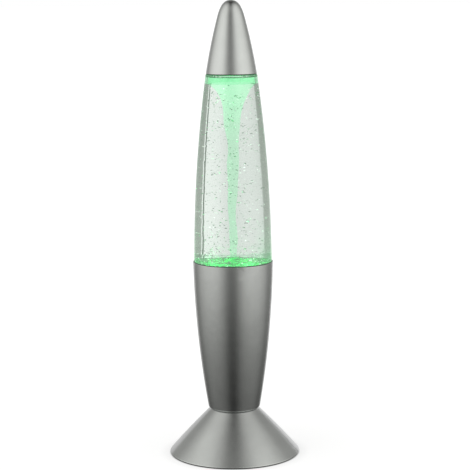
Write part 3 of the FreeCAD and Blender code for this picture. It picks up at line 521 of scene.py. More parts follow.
def liquid_water():
    """The clear liquid against the bottle's wall, with painted green light: a mottled band of painted
    glow and painted shade low down, and a painted green tint and glow up one side.
    """
    made = Finish("liquid", (1.0, 1.0, 1.0), 0.0, Transmission_Weight=1.0, IOR=1.33)
    mottle = made.ranged(made.noise(230, 4, 0.7), 0, 1, 0.3, 0.7)
    edge = made.maths("ADD", made.axis("Z"), made.ranged(mottle, 0, 1.6 * MM, 0, 1))
    # Painted light: a mottled band low in the bottle turns green and glows, its darker patches painted
    # shade.
    low = made.ranged(edge, 1, 0, *[z * MM for z in PAINTED_GLOW_BAND_Z])
    # Painted light up the +X side, fading with height.
    side = made.ranged(made.axis("X"), 0, 1, *[x * MM for x in PAINTED_GLOW_SIDE_X])
    fade = made.ranged(made.axis("Z"), 1, 0, *[z * MM for z in PAINTED_GLOW_SIDE_Z])
    side = made.maths("MULTIPLY", side, fade)
    clear = made.blend(made.noise(60, 1), (0.93, 0.955, 0.94), (0.95, 0.975, 0.955))
    clear = made.blend(side, clear, (0.66, 0.99, 0.75))
    made.paint(made.blend(low, clear, made.blend(mottle, (0.42, 0.78, 0.51), (0.58, 0.97, 0.68))))
    # The glow below is painted light; no lamp is in the liquid.
    made.set("Emission Color", (0.54, 1.0, 0.64, 1.0))
    glow = made.maths("MULTIPLY", low, made.ranged(mottle, 0.0, 0.13, 0, 1))
    glow = made.maths("ADD", glow, made.ranged(side, 0.042, 0.12, 0, 1))
    made.shine(glow)
    return made.lets_light_through((0.97, 1.0, 0.98)).material


def vortex_water():
    """The liquid's surface in the vortex, rippled by the spin, with painted green light: a green tint,
    paler on the ripples, and a glow that grows towards the top.
    """
    tint = tuple(colours().vortex)
    made = Finish("vortex_surface", tint, 0.12, Transmission_Weight=1.0, IOR=1.004)
    ripples = made.noise(120, 3, 0.6, (1, 1, 2.4))
    made.bump(ripples, 0.35, 0.5)
    # Painted light: the green tint and the glow grow with height.
    rise = made.ranged(made.axis("Z"), 0, 1, 236 * MM, 276 * MM)
    film = tuple(colours().film)
    shade = made.blend(rise, tint, toned(film, 0.95))
    # Painted light: the ripples are paler.
    made.paint(made.blend(made.ranged(ripples, 0, 0.3), shade, (0.85, 1.0, 0.90)))
    made.set("Emission Color", (0.33, 1.0, 0.50, 1.0))
    made.shine(made.ranged(rise, 0.045, 0.13, 0, 1))
    return made.lets_light_through((0.97, 1.0, 0.98)).material


def wet_film():
    """A thin wet film on the wall above the liquid, with a painted green tint and a painted green glow.
    """
    tint = tuple(colours().film)
    made = Finish("wet_film", tint, 0.05, Transmission_Weight=1.0, IOR=1.01)
    drops = made.noise(420, 3, 0.6)
    made.bump(drops, 0.4, 0.2)
    made.paint(made.blend(made.ranged(drops, 0, 1), toned(tint, 0.9), toned(tint, 1.05)))
    # Painted light: a faint green glow.
    made.set("Emission Color", (0.25, 1.0, 0.42, 1.0))
    made.set("Emission Strength", 0.08)
    return made.lets_light_through((0.97, 1.0, 0.98)).material


def glitter_foil():
    """Thin bright foil whose tone changes from flake to flake. A few flakes carry a painted glint."""
    made = Finish("glitter_foil", (0.8, 0.9, 0.85), 0.18, 1.0)
    tone = made.cells(260, "Color")
    split = made.node("ShaderNodeSeparateColor")
    made.link(tone, split.inputs[0])
    made.paint(made.blend(split.outputs[0], (0.30, 0.42, 0.36), (0.95, 1.0, 0.95)))
    made.rough(split.outputs[1], 0.08, 0.30, 0, 1)
    # Painted glints: a few flakes, picked by their cell's colour, glow white-green.
    made.set("Emission Color", (0.82, 1.0, 0.88, 1.0))
    made.shine(made.ranged(split.outputs[2], 0, 0.85, 0.78, 0.82))
    made.bump(made.noise(2500, 2), 0.2, 0.02)
    return made.material


def light_board_mask():
    """Solder mask with copper tracks and a ring of pads."""
    mask = tuple(colours().board)
    made = Finish("circuit_board", mask, 0.32, 0.0, Coat_Weight=0.3, Coat_Roughness=0.1)
    radius = made.from_axis()
    wave = made.maths("SINE", made.maths("MULTIPLY", radius, 2 * math.pi / (1.6 * MM)))
    tracks = made.ranged(wave, 0, 1, 0.55, 0.75)
    made.paint(made.blend(tracks, toned(mask, 0.8), toned(mask, 2.2)))
    made.rough(made.noise(500, 3), 0.26, 0.40)
    made.bump(tracks, 0.6, 0.035)
    made.bump(made.noise(3000, 2), 0.15, 0.02)
    return made.material


def led_lens():
    """Clear green-tinted epoxy, lit from its chip."""
    light = tuple(colours().light)
    made = Finish("led_lens", (0.55, 1.0, 0.65), 0.05, Transmission_Weight=0.6, IOR=1.5)
    glow = made.ranged(made.axis("Z"), 0.5, 1.6, BOARD_TOP_Z * MM, LED_TOP_Z * MM)
    haze = made.maths("MULTIPLY", glow, made.ranged(made.noise(700, 2), 0.9, 1.1))
    made.shine(haze)
    made.set("Emission Color", (*light, 1.0))
    made.bump(made.noise(900, 1), 0.05, 0.03)
    return made.lets_light_through((0.6, 1.0, 0.7)).material


def cell_sleeve(name, button_side):
    """Printed shrink sleeve with a bright band at the button end, and bare metal ends."""
    dark = tuple(colours().sleeve)
    made = Finish(name, dark, 0.3, 0.0, Coat_Weight=0.4, Coat_Roughness=0.08)
    along = made.maths("MULTIPLY", made.axis("Y"), float(button_side))
    band = made.ranged(along, 0, 1, 11.9 * MM, 12.1 * MM)
    metal = made.maths(
        "MAXIMUM",
        made.ranged(along, 0, 1, 20.9 * MM, 21.1 * MM),
        made.ranged(along, 1, 0, -22.0 * MM, -21.9 * MM),
    )
    cloud = made.noise(300, 3)
    base = made.blend(made.ranged(cloud, 0, 1), toned(dark, 0.85), toned(dark, 1.15))
    banded = made.blend(band, base, (0.52, 0.36, 0.10))
    made.paint(made.blend(metal, banded, (0.62, 0.62, 0.60)))
    made.link(made.maths("MAXIMUM", metal, made.maths("MULTIPLY", band, 0.8)),
              made.shader.inputs["Metallic"])
    made.rough(cloud, 0.24, 0.36)
    made.bump(made.noise(600, 2, 0.5, (1, 0.2, 1)), 0.15, 0.03)
    return made.material


def wire_sleeve(name, colour):
    """Soft PVC sleeve with faint draw lines."""
    made = Finish(name, colour, 0.42, 0.0, Coat_Weight=0.15, Coat_Roughness=0.25)
    draw = made.noise(900, 3, 0.5, (1, 1, 0.25))
    made.paint(made.blend(made.ranged(draw, 0, 1), toned(colour, 0.85), toned(colour, 1.12)))
    made.rough(draw, 0.36, 0.50)
    made.bump(draw, 0.2, 0.03)
    return made.material


def make_finishes():
    """Every finish by its slot's name."""
    upright = (1, 1, 0.05)
    round_about = (0.15, 0.15, 3.0)
    return {
        "satin_silver": satin_silver(),
        "clear_plastic": clear_plastic(),
        "liquid": liquid_water(),
        "dark_plastic": moulded("dark_plastic", (0.034, 0.035, 0.038), 0.46),
        "grey_plastic": moulded("grey_plastic", (0.10, 0.105, 0.11), 0.42, 2400),
        "white_plastic": moulded("white_plastic", (0.72, 0.72, 0.69), 0.38, 2200, 0.02),
        "rubber": moulded("rubber", (0.022, 0.022, 0.023), 0.72, 1400, 0.08, 0.5),
        "chip_black": moulded("chip_black", (0.015, 0.015, 0.016), 0.45, 5000, 0.02),
        "magnet": worked_metal("magnet", (0.66, 0.65, 0.63), 0.16, (1, 1, 1), 0.9, 0.004),
        "ferrite": moulded("ferrite", (0.045, 0.043, 0.042), 0.6, 2600, 0.05, 0.5),
        "steel": worked_metal("steel", (0.50, 0.50, 0.49), 0.28, round_about, 0.8),
        "iron": worked_metal("iron", (0.24, 0.235, 0.23), 0.42, round_about, 0.6, 0.03),
        "copper": worked_metal("copper", (0.72, 0.27, 0.12), 0.26, (0.3, 0.3, 4), 0.7, 0.05),
        "brass": worked_metal("brass", (0.66, 0.47, 0.17), 0.26, upright, 0.8),
        "bronze": worked_metal("bronze", (0.45, 0.27, 0.13), 0.40, (1, 1, 1), 0.7, 0.03),
        "spring_steel": worked_metal("spring_steel", (0.60, 0.60, 0.57), 0.22, (1, 0.1, 1), 0.85),
        "circuit_board": light_board_mask(),
        "led_lens": led_lens(),
        "cell_wrap": cell_sleeve("cell_wrap", 1),
        "wire_red": wire_sleeve("wire_red", (0.42, 0.012, 0.010)),
        "wire_black": wire_sleeve("wire_black", (0.014, 0.014, 0.015)),
    }


FINISHES = {}


def dress(*slots):
    """Gives the frame's nodes of these slots their finishes."""
    dressed = 0
    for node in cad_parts.values():
        for place in node.material_slots:
            name = place.material.name.split(".")[0]
            if name in slots:
                place.material = FINISHES[name]
                dressed += 1
    if not dressed:
        raise RuntimeError("No node has a finish among " + ", ".join(slots))


# ---------------------------------------------------------------- the stage


# Brightness of the studio by bearing from the front, and by height above the horizon, in degrees.
FRONT_SHIFT = math.radians(4)
AROUND_LIGHT = (
    (0, 0.30), (12, 0.40), (24, 0.72), (40, 1.05), (60, 1.15), (85, 1.05), (105, 0.80), (125, 0.45),
    (146, 0.38),
)
HIGH_LIGHT = (
    (0, 0.52), (20, 0.64), (40, 1.02), (62, 1.25), (85, 1.12), (104, 0.85), (118, 0.60), (132, 0.38),
    (150, 0.28),
)
HIGH_SPAN = ((34, 0.0), (52, 1.0))
ABOVE_LIGHT = (
    (-90, 0.06), (-38, 0.10), (-30, 0.16), (-22, 0.29), (-14, 0.60), (-4, 0.97), (10, 1.0), (45, 0.83),
    (62, 0.52), (74, 0.25), (84, 0.10), (90, 0.06),
)
BACKDROP_EDGE = ((147, 0.0), (150, 1.0))
BACKDROP_SPAN = ((-19, 0.35), (-13, 1.0), (16, 1.0), (30, 0.0))
EDGE_LINES = (
    (0, 1.0), (146, 1.0), (147.6, 1.4), (149.8, 1.4), (150.4, 0.04), (152.4, 0.04), (153.4, 1.0)
)
BACKDROP_LEVEL = 0.75
BACKDROP_SLOPE = 0.22
STUDIO_TINT = (0.99, 1.0, 0.962, 1.0)
WHITE = (1.0, 1.0, 1.0, 1.0)
HORIZON = 0.5


def studio_world():
    """A soft studio: side softboxes, a darker front and a white backdrop. The camera sees only white."""
    world = bpy.data.worlds.new("studio")
    bpy.context.scene.world = world
    world.use_nodes = True
    world.node_tree.nodes.clear()
    sky = Nodes(world.node_tree)
    maths = sky.maths
    mixed = sky.mixed

    def ramp(source, stops, middle=0.0):
        """A brightness by an angle, its stops in degrees from the middle."""
        made = sky.node("ShaderNodeValToRGB")
        line = made.color_ramp
        while len(line.elements) < len(stops):
            line.elements.new(0.5)
        for element, (degrees, value) in zip(line.elements, stops):
            element.position = middle + degrees / 180
            element.color = (value, value, value, 1)
        sky.link(source, made.inputs[0])
        return made.outputs["Color"]

    split = sky.node("ShaderNodeSeparateXYZ")
    sky.link(sky.node("ShaderNodeTexCoord").outputs["Generated"], split.inputs[0])
    across, depth, height = split.outputs
    turn = maths("ARCTAN2", across, maths("MULTIPLY", depth, -1.0))
    bearing = maths("DIVIDE", maths("ABSOLUTE", turn), math.pi)
    shifted = maths("DIVIDE", maths("ABSOLUTE", maths("ADD", turn, FRONT_SHIFT)), math.pi)
    lift = maths("ADD", maths("DIVIDE", maths("ARCSINE", height), math.pi), HORIZON)

    backdrop = maths("MULTIPLY", ramp(bearing, BACKDROP_EDGE), ramp(lift, BACKDROP_SPAN, HORIZON))
    edge = ramp(maths("DIVIDE", turn, math.pi), EDGE_LINES)
    paper = maths("ADD", maths("MULTIPLY", across, BACKDROP_SLOPE), BACKDROP_LEVEL)
    paper = maths("MULTIPLY", paper, edge)

    sides = mixed(ramp(lift, HIGH_SPAN, HORIZON), ramp(shifted, AROUND_LIGHT), ramp(shifted, HIGH_LIGHT))
    lit = mixed(1.0, sides, ramp(lift, ABOVE_LIGHT, HORIZON), "MULTIPLY")
    tinted = mixed(1.0, lit, STUDIO_TINT, "MULTIPLY")
    full = mixed(backdrop, tinted, paper)
    seen = mixed(sky.node("ShaderNodeLightPath").outputs["Is Camera Ray"], full, WHITE)
    background = sky.node("ShaderNodeBackground")
    sky.link(seen, background.inputs["Color"])
    output = sky.node("ShaderNodeOutputWorld")
    sky.link(background.outputs[0], output.inputs["Surface"])


def add_light(kind, name, place, power):
    """A light that doesn't show through the clear parts."""
    clear_selection()
    bpy.ops.object.light_add(type=kind, location=place)
    lamp = bpy.context.object
    lamp.name = name
    lamp.data.energy = power
    lamp.visible_transmission = False
    return lamp


class LAMP_OT_stage(Operator):
    """Adds the floor, the studio light and the camera"""

    bl_idname = "lamp.stage"
    bl_label = "Stage"

    def execute(self, context):
        clear_selection()
        bpy.ops.mesh.primitive_circle_add(vertices=128, radius=FLOOR_RADIUS, fill_type="NGON")
        floor = context.object
        bpy.ops.object.mode_set(mode="EDIT")
        bpy.ops.mesh.inset(thickness=FLOOR_RADIUS - FLOOR_MIDDLE_RADIUS)
        leave_edit()
        paper = Finish("pale_paper", (0.30, 0.30, 0.30), 0.9)
        paper.set("Specular IOR Level", 0.0)
        grain = paper.noise(900, 4)
        paper.paint(paper.blend(paper.ranged(grain, 0, 1), (0.29, 0.29, 0.29), (0.31, 0.31, 0.31)))
        paper.bump(grain, 0.1, 0.2)
        paper.set("Emission Color", (1, 1, 1, 1))
        away = paper.from_axis()
        # The floor glows so that it reads pale white, a little less near the lamp.
        spread = paper.ranged(away, 0.82, 1.0, 0.02, 0.5)
        # Painted shadow: the glow drops to a dark ring under the foot's rim and dims just outside it.
        under = paper.ranged(away, 0.05, 1.0, *PAINTED_SHADOW_UNDER_FOOT)
        shade = paper.maths("MULTIPLY", under, paper.ranged(away, 0.90, 1.0, *PAINTED_SHADOW_NEAR_FOOT))
        paper.shine(paper.maths("MULTIPLY", spread, shade))
        see_through = paper.node("ShaderNodeBsdfTransparent")
        paper.gives_way(paper.node("ShaderNodeNewGeometry").outputs["Backfacing"], see_through)
        floor.location.z = -FLOOR_LOWER
        finish_piece(floor, "floor", paper.material, smooth=False)
        floor.visible_glossy = False
        floor.visible_transmission = False

        studio_world()
        context.scene.view_settings.view_transform = "Standard"
        context.scene.cycles.max_bounces = 28
        context.scene.cycles.transmission_bounces = 24
        context.scene.cycles.transparent_max_bounces = 32
        context.scene.cycles.caustics_refractive = False
        context.scene.cycles.caustics_reflective = False

        softbox = add_light("AREA", "top_softbox", (-0.5, -0.5, 1.6), 4.0)
        softbox.data.shape = "DISK"
        softbox.data.size = 1.2
        softbox.visible_glossy = False
        facing = Vector((0, 0, 0.1)) - softbox.location
        softbox.rotation_euler = facing.to_track_quat("-Z", "Y").to_euler()

        bpy.ops.object.camera_add(location=CAMERA_PLACE)
        camera = context.object
        camera.name = "camera"
        camera.data.lens = sizes().lens_length
        camera.data.sensor_width = 36
        camera.data.clip_start = 0.01
        camera.data.clip_end = 200
        facing = (Vector(CAMERA_AIM) - Vector(CAMERA_PLACE)).to_track_quat("-Z", "Y").to_matrix()
        roll = Matrix.Rotation(-sizes().camera_roll, 3, "Z")
        camera.rotation_euler = (facing @ roll).to_euler()
        context.scene.camera = camera
        return {"FINISHED"}


# ---------------------------------------------------------------- bottle and liquid


def vortex_radius(z):
    """Radius of the vortex at a height, in millimetres."""
    free = math.sqrt(sizes().vortex_strength / (VORTEX_TOP_Z - z))
    ripple = 1 + VORTEX_RIPPLE * math.sin(z / 4.3) + VORTEX_SWELL * math.sin(z / 8.3 + 1.0)
    rise = (z - VORTEX_LOW_Z) / VORTEX_LOW_SPAN
    drawn_in = min(1.0, VORTEX_LOW_SHARE + (1 - VORTEX_LOW_SHARE) * rise)
    return free * drawn_in * (ripple if free < RIPPLED_BELOW_RADIUS else 1)


def vortex_centre(z):
    """How far the vortex stands off the lamp's axis at a height, in millimetres."""
    share = (z - VORTEX_LOW_Z) / (VORTEX_LEAN_TOP_Z - VORTEX_LOW_Z)
    lean = sizes().vortex_lean / MM - VORTEX_LEAN_START
    fade = min(1.0, max(0.0, (wall_contact_z() - z) / VORTEX_FADE))
    wave = 0.35 * math.sin(z / 11.0) + 0.2 * math.sin(z / 5.2)
    x = (VORTEX_LEAN_START + lean * max(0.0, share) ** 3 + wave) * fade
    y = (0.5 * math.sin(z / 17.0) + 0.2 * math.cos(z / 7.0)) * fade
    return x, y


def wall_contact_z():
    """Where the vortex's surface meets the wall, in millimetres."""
    z = VORTEX_TOP_Z - 1
    for _ in range(20):
        z = VORTEX_TOP_Z - sizes().vortex_strength / bottle_inside(z) ** 2
    return z


class LAMP_OT_liquid(Operator):
    """Adds the liquid, which wets the bottle's wall, with the vortex's air core in it"""

    bl_idname = "lamp.liquid"
    bl_label = "Liquid and vortex"

    def execute(self, context):
        overlap = sizes().liquid_overlap / MM
        contact = wall_contact_z()
        heights = [BOTTLE_FLOOR_Z - overlap]
        heights += [BOTTLE_FLOOR_Z + step for step in (4, 8, 12, 15.4)]
        z = BARREL_TOP_Z + SHOULDER_BLEND
        while z < contact - 3:
            heights.append(z)
            z += 5.0
        heights.append(contact)
        rings = [(bottle_inside(max(z, BOTTLE_FLOOR_Z)) + overlap, z, 0.0, 0.0) for z in heights]
        lip = bottle_inside(contact)
        rings.append((lip - 0.1, contact - 0.02, 0.0, 0.0))
        radius = lip - 0.8
        while radius > 5.6:
            z = VORTEX_TOP_Z - sizes().vortex_strength / radius ** 2
            rings.append((vortex_radius(z), z, *vortex_centre(z)))
            radius *= 0.93
        z = rings[-1][1] - 2.0
        while z > VORTEX_LOW_Z + 2:
            rings.append((vortex_radius(z), z, *vortex_centre(z)))
            z -= 2.4
        x, y = vortex_centre(VORTEX_LOW_Z)
        for radius, drop in ((1.5, 1.2), (1.0, 0.5), (0.3, 0.1)):
            rings.append((radius, VORTEX_LOW_Z + drop, x, y))
        piece = ring_stack(rings, 112)
        finish_piece(piece, "liquid_body", FINISHES["liquid"])
        piece.data.materials.append(FINISHES["vortex"])
        inner = bottle_inside(contact) - 0.05
        for face in piece.data.polygons:
            centre = face.center / MM
            radius = math.hypot(centre.x, centre.y)
            if centre.z > VORTEX_LOW_Z - 1 and radius < min(inner, bottle_inside(centre.z) - 0.3):
                face.material_index = 1
        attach(piece, "bottle")
        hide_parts("liquid")
        return {"FINISHED"}


class LAMP_OT_film(Operator):
    """Adds the wet film on the wall above the liquid"""

    bl_idname = "lamp.film"
    bl_label = "Wet film"

    def execute(self, context):
        low = wall_contact_z() + 0.05
        high = BOTTLE_TOP_Z - BOTTLE_WALL
        outer = [(bottle_inside(z) + 0.05, z) for z in (low, (low + high) / 2, high)]
        outer += [(outer[-1][0] - 0.02, high + 0.05), (8.4, high + 0.05), (8.2, high - 0.12)]
        inner = [(bottle_inside(high) - 0.9, high - 0.2), (bottle_inside(high) - 0.35, high - 0.7)]
        inner += [(bottle_inside(z) - 0.25, z) for z in ((low + high) / 2, low + 0.1)]
        piece = ring_stack(plain_rings(outer + inner + outer[:1]), 112, hollow=True)
        finish_piece(piece, "wet_film", FINISHES["film"])
        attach(piece, "bottle")
        return {"FINISHED"}


def flake_shape():
    """One six-sided flake, its rim bevelled, lying flat at the origin."""
    clear_selection()
    bpy.ops.mesh.primitive_cylinder_add(
        vertices=6, radius=sizes().flake_radius, depth=sizes().flake_thickness, location=(0, 0, 0)
    )
    flake = bpy.context.object
    bpy.ops.object.mode_set(mode="EDIT")
    bpy.ops.mesh.select_all(action="DESELECT")
    leave_edit()
    for face in flake.data.polygons:
        face.select = face.normal.z > 0.9
    bpy.ops.object.mode_set(mode="EDIT")
    bpy.ops.mesh.inset(thickness=sizes().flake_radius * 0.12)
    bpy.ops.transform.translate(value=(0, 0, sizes().flake_thickness * 0.25))
    leave_edit()
    flake.name = "flake"
    return flake


def flake_matrix(place, rng, spread):
    """A flake's turn: roughly along the swirl, tumbling by the spread."""
    bearing = math.atan2(place.y, place.x)
    swirl = Matrix.Rotation(bearing, 4, "Z") @ Matrix.Rotation(math.pi / 2, 4, "Y")
    tumble = (
        Matrix.Rotation(rng.gauss(0, spread), 4, "X")
        @ Matrix.Rotation(rng.gauss(0, spread), 4, "Y")
        @ Matrix.Rotation(rng.gauss(0, spread / 2), 4, "Z")
    )
    size = rng.uniform(0.55, 1.25)
    return Matrix.Translation(place) @ swirl @ tumble @ Matrix.Diagonal((size * 0.75, size * 1.6, 1, 1))


class LAMP_OT_glitter(Operator):
    """Scatters glitter flakes through the liquid, thickest round the vortex and near the bottom"""

    bl_idname = "lamp.glitter"
    bl_label = "Glitter"

    def execute(self, context):
        rng = random.Random(417)
        matrices = []
        while len(matrices) < sizes().flake_count:
            z = rng.uniform(BOTTLE_FLOOR_Z + 10, wall_contact_z() - 3)
            outer = bottle_inside(z) - 1.0
            x, y = vortex_centre(z)
            inner = vortex_radius(z) + 1.2
            radius = inner + (outer - inner) * rng.random() ** 0.8
            if inner >= outer:
                continue
            turn = rng.uniform(0, 2 * math.pi)
            place = Vector((x + radius * math.cos(turn), y + radius * math.sin(turn), z)) * MM
            if math.hypot(place.x, place.y) > outer * MM:
                continue
            matrices.append(flake_matrix(place, rng, 0.9))
        while len(matrices) < sizes().flake_count + sizes().settled_count:
            z = BOTTLE_FLOOR_Z + 10 + abs(rng.gauss(6, 9))
            outer = bottle_inside(z) - 1.0
            radius = outer * math.sqrt(rng.uniform(0.3, 1))
            place = polar(radius, rng.uniform(0, 360), z)
            matrices.append(flake_matrix(place, rng, 1.4))
        piece = copied(flake_shape(), matrices)
        finish_piece(piece, "glitter", FINISHES["glitter"], smooth=False)
        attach(piece, "bottle")
        return {"FINISHED"}


# ---------------------------------------------------------------- lights, springs and small parts


class LAMP_OT_shadow_rings(Operator):
    """Adds thin dark rings at the barrel's rim and under the cap: painted shade lines in the gaps there
    """

    bl_idname = "lamp.rim_seal"
    bl_label = "Rim seal"

    def execute(self, context):
        inner = bottle.radius(BARREL_TOP_Z, 0) + 0.03
        profile = ((0, -0.02), (0.42, -0.02), (0.46, 0.3), (0.34, 0.52), (0.14, 0.60), (0, 0.50))
        points = [(inner + out, BARREL_TOP_Z + up) for out, up in profile]
        piece = ring_stack(plain_rings(points + points[:1]), 128, hollow=True)
        # Painted shade: a thin dark green ring fills the gap at the barrel's rim, drawing the shadow
        # line there.
        finish_piece(piece, "rim_seal", FINISHES["shadow_ring_finish"])
        # Hidden from rays through the glass, so the lit rim doesn't drown the painted shadow line.
        piece.visible_transmission = False
        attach(piece, "base")
        level = BOTTLE_TOP_Z + 0.01
        profile = ((16.0, 0), (18.86, 0), (18.92, 0.12), (18.86, 0.24), (16.0, 0.24))
        points = [(radius, level + up) for radius, up in profile]
        # Painted shade: a thin dark green ring in the gap under the cap.
        piece = ring_stack(plain_rings(points + points[:1]), 112, hollow=True)
        finish_piece(piece, "cap_shadow_ring", FINISHES["shadow_ring_finish"])
        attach(piece, "bottle")
        return {"FINISHED"}


class LAMP_OT_lights(Operator):
    """Adds the green lights, the LEDs' chips and the board's solder joints"""

    bl_idname = "lamp.lights"
    bl_label = "Lights and solder"

    def execute(self, context):
        for number, bearing in enumerate(LED_BEARINGS, 1):
            place = polar(LED_CIRCLE, bearing, LED_TOP_Z + 0.6)
            lamp = add_light("POINT", "green_light_%d" % number, place, sizes().lamp_power)
            lamp.data.color = colours().light
            lamp.data.shadow_soft_size = 1.0 * MM
            lamp.visible_camera = False
            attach(lamp, "base")

        place = (2.5 * MM, 0, 284.5 * MM)
        piped = add_light("POINT", "piped_light", place, sizes().lamp_power * PIPED_SHARE)
        piped.data.color = colours().light
        piped.data.shadow_soft_size = 2.0 * MM
        piped.visible_camera = False
        piped.visible_glossy = False
        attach(piped, "bottle")

        fillet = ((1.0, 0.05), (0.95, -0.1), (0.7, -0.35), (0.45, -0.7), (0.32, -1.0), (0.28, -1.3))
        joint = ring_stack(plain_rings(fillet), SMALL_SIDES)
        joint.name = "solder_joint"
        places = []
        turn = math.degrees(LED_PITCH / LED_CIRCLE)
        for bearing in LED_BEARINGS:
            places += [polar(LED_CIRCLE, bearing + side * turn, BOARD_BOTTOM_Z) for side in (-1, 1)]
        piece = copied(joint, [Matrix.Translation(place) for place in places])
        finish_piece(piece, "solder_joints", FINISHES["solder"])
        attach(piece, "base")

        chips = [
            bevelled_block((1.1, 1.1, 0.5), (0, 0, BOARD_TOP_Z + 4.2), 0.1),
            bevelled_block((0.5, 0.5, 3.9), (0.55, 0, BOARD_TOP_Z + 2.0), 0.1),
            bevelled_block((0.5, 0.5, 4.6), (-0.9, 0, BOARD_TOP_Z + 2.35), 0.1),
        ]
        chip = joined(chips)
        chip.name = "led_chip"
        moves = [
            Matrix.Translation(polar(LED_CIRCLE, bearing, 0))
            @ Matrix.Rotation(math.radians(bearing), 4, "Z")
            for bearing in LED_BEARINGS
        ]
        piece = copied(chip, moves)
        finish_piece(piece, "led_chips", FINISHES["spring_steel"])
        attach(piece, "base")
        return {"FINISHED"}


class LAMP_OT_springs(Operator):
    """Adds the three coiled contact springs in place of the frame's plain cones"""

    bl_idname = "lamp.springs"
    bl_label = "Contact springs"

    def execute(self, context):
        wide = 3.3
        narrow = 2.3
        length = 3.3
        turns = 4
        wire = sizes().spring_wire / MM / 2
        clear_selection()
        bpy.ops.mesh.primitive_circle_add(
            vertices=10, radius=wire * MM, location=(wide * MM, 0, wire * MM),
            rotation=(math.pi / 2, 0, 0), fill_type="NOTHING",
        )
        coil = context.object
        bpy.ops.object.transform_apply()
        screw = coil.modifiers.new("coil", "SCREW")
        screw.axis = "Z"
        screw.angle = 2 * math.pi * turns
        screw.screw_offset = (length - 2 * wire) * MM
        screw.steps = 28 * turns
        screw.render_steps = 28 * turns
        screw.use_merge_vertices = False
        bpy.ops.object.modifier_apply(modifier=screw.name)
        taper = coil.modifiers.new("cone", "SIMPLE_DEFORM")
        taper.deform_method = "TAPER"
        taper.deform_axis = "Z"
        taper.factor = narrow / wide - 1
        bpy.ops.object.modifier_apply(modifier=taper.name)
        edit_all()
        bpy.ops.mesh.fill_holes(sides=0)
        bpy.ops.mesh.normals_make_consistent(inside=False)
        leave_edit()
        coil.name = "contact_spring"
        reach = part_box("battery_springs")[1][1]
        moves = []
        for number, side in ((-1, -1), (1, -1), (0, 1)):
            base = Vector((number * CELL_PITCH * MM, side * reach, CELL_AXIS_Z * MM))
            moves.append(Matrix.Translation(base) @ Matrix.Rotation(side * math.pi / 2, 4, "X"))
        piece = copied(coil, moves)
        finish_piece(piece, "contact_springs", FINISHES["spring_steel"])
        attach(piece, "base")
        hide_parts("battery_springs")
        return {"FINISHED"}


class LAMP_OT_door_marks(Operator):
    """Adds the door's grip ribs and its opening mark"""

    bl_idname = "lamp.door_marks"
    bl_label = "Door ribs and mark"

    def execute(self, context):
        height = sizes().rib_height / MM
        ribs = [
            bevelled_block((16.0, 0.8, 2 * height), (0, 16.2 + 1.7 * step, PLATE_BOTTOM_Z), 0.3)
            for step in range(5)
        ]
        clear_selection()
        place = (0, 10.6 * MM, PLATE_BOTTOM_Z * MM)
        bpy.ops.mesh.primitive_cylinder_add(
            vertices=3, radius=3.0 * MM, depth=2 * height * MM, location=place
        )
        arrow = context.object
        edit_all()
        bpy.ops.mesh.bevel(offset=0.25 * MM, segments=3)
        leave_edit()
        piece = joined(ribs + [arrow])
        finish_piece(piece, "door_grip", FINISHES["dark_plastic"])
        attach(piece, "battery_door")
        return {"FINISHED"}


class LAMP_OT_base_marks(Operator):
    """Adds the base plate's moulded ring and the switch's on and off marks"""

    bl_idname = "lamp.base_marks"
    bl_label = "Base ring and switch marks"

    def execute(self, context):
        height = sizes().rib_height / MM
        level = PLATE_BOTTOM_Z
        low = level - height
        root = level + 0.2
        inner = MARK_RING - 0.5
        outer = MARK_RING + 0.5
        points = [
            (inner, root), (inner, low + 0.15), (inner + 0.15, low),
            (outer - 0.15, low), (outer, low + 0.15), (outer, root),
        ]
        ring = ring_stack(plain_rings(points + points[:1]), 128, hollow=True)
        mark_x = SWITCH_X + 6.0
        on_mark = bevelled_block((0.6, 3.0, 2 * height), (mark_x, 4.2, level), 0.15)
        circle = [(1.5, root), (1.5, low), (1.0, low), (1.0, root), (1.5, root)]
        rings = [(radius, z, mark_x, -4.2) for radius, z in circle]
        off_mark = ring_stack(rings, SMALL_SIDES, hollow=True)
        piece = joined([ring, on_mark, off_mark])
        finish_piece(piece, "base_marks", FINISHES["dark_plastic"])
        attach(piece, "base")
        return {"FINISHED"}


# ---------------------------------------------------------------- finishes of the frame's nodes


class LAMP_OT_shells(Operator):
    """Finishes the foot, the barrel and the cap in satin silver"""

    bl_idname = "lamp.shells"
    bl_label = "Silver shells"

    def execute(self, context):
        dress("satin_silver")
        return {"FINISHED"}


class LAMP_OT_clear_parts(Operator):
    """Finishes the bottle and the impeller in clear plastic"""

    bl_idname = "lamp.clear_parts"
    bl_label = "Clear parts"

    def execute(self, context):
        dress("clear_plastic")
        return {"FINISHED"}


class LAMP_OT_moulded_parts(Operator):
    """Finishes the moulded plastic and rubber parts"""

    bl_idname = "lamp.moulded_parts"
    bl_label = "Plastic and rubber"

    def execute(self, context):
        dress("dark_plastic", "grey_plastic", "white_plastic", "rubber")
        return {"FINISHED"}


class LAMP_OT_motor(Operator):
    """Finishes the screws, the motor and the magnets"""

    bl_idname = "lamp.motor"
    bl_label = "Screws, motor and magnets"

    def execute(self, context):
        dress("steel", "iron", "copper", "bronze", "ferrite", "magnet")
        return {"FINISHED"}


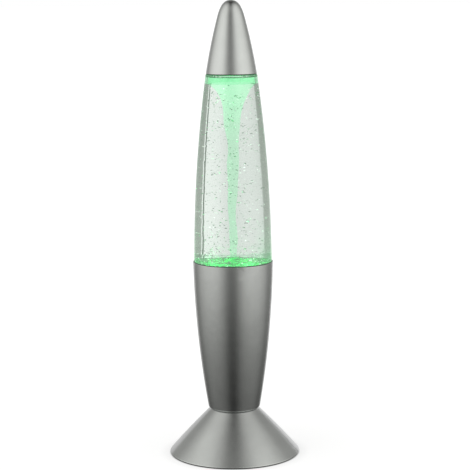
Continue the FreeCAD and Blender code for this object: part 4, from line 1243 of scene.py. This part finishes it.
class LAMP_OT_electrics(Operator):
    """Finishes the light board, the contacts, the cells and the wires"""

    bl_idname = "lamp.electrics"
    bl_label = "Board, cells and wires"

    def execute(self, context):
        dress("circuit_board", "chip_black", "led_lens", "brass", "spring_steel")
        dress("cell_wrap", "wire_red", "wire_black")
        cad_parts["battery_cell_2"].material_slots[0].material = FINISHES["reversed_cell"]
        return {"FINISHED"}


STEPS = (
    LAMP_OT_stage,
    LAMP_OT_shells,
    LAMP_OT_clear_parts,
    LAMP_OT_liquid,
    LAMP_OT_film,
    LAMP_OT_glitter,
    LAMP_OT_shadow_rings,
    LAMP_OT_moulded_parts,
    LAMP_OT_motor,
    LAMP_OT_electrics,
    LAMP_OT_lights,
    LAMP_OT_springs,
    LAMP_OT_door_marks,
    LAMP_OT_base_marks,
)


class LAMP_PT_sidebar(Panel):
    """Lists the lamp's steps in the sidebar"""

    bl_idname = "LAMP_PT_sidebar"
    bl_label = "Glitter vortex lamp"
    bl_space_type = "VIEW_3D"
    bl_region_type = "UI"
    bl_category = "Lamp"

    def draw(self, context):
        column = self.layout.column(align=True)
        for step in STEPS:
            column.operator(step.bl_idname)


CLASSES = (LampSizes, LampColours, *STEPS, LAMP_PT_sidebar)


def register():
    for item in CLASSES:
        bpy.utils.register_class(item)
    bpy.types.Scene.lamp_sizes = PointerProperty(type=LampSizes)
    bpy.types.Scene.lamp_colours = PointerProperty(type=LampColours)


def unregister():
    del bpy.types.Scene.lamp_colours
    del bpy.types.Scene.lamp_sizes
    for item in reversed(CLASSES):
        bpy.utils.unregister_class(item)


def main():
    register()
    FINISHES.update(make_finishes())
    FINISHES["vortex"] = vortex_water()
    FINISHES["film"] = wet_film()
    # Dark green finish of the rings that paint the shadow lines at the rim and under the cap.
    FINISHES["shadow_ring_finish"] = moulded("shadow_ring_finish", (0.07, 0.12, 0.085), 0.45, 2600, 0.02)
    FINISHES["glitter"] = glitter_foil()
    FINISHES["solder"] = worked_metal("solder", (0.62, 0.62, 0.60), 0.22, (1, 1, 1), 0.85)
    FINISHES["reversed_cell"] = cell_sleeve("cell_wrap_reversed", -1)
    for step in STEPS:
        group, name = step.bl_idname.split(".")
        getattr(getattr(bpy.ops, group), name)()


if __name__ == "__main__":
    main()
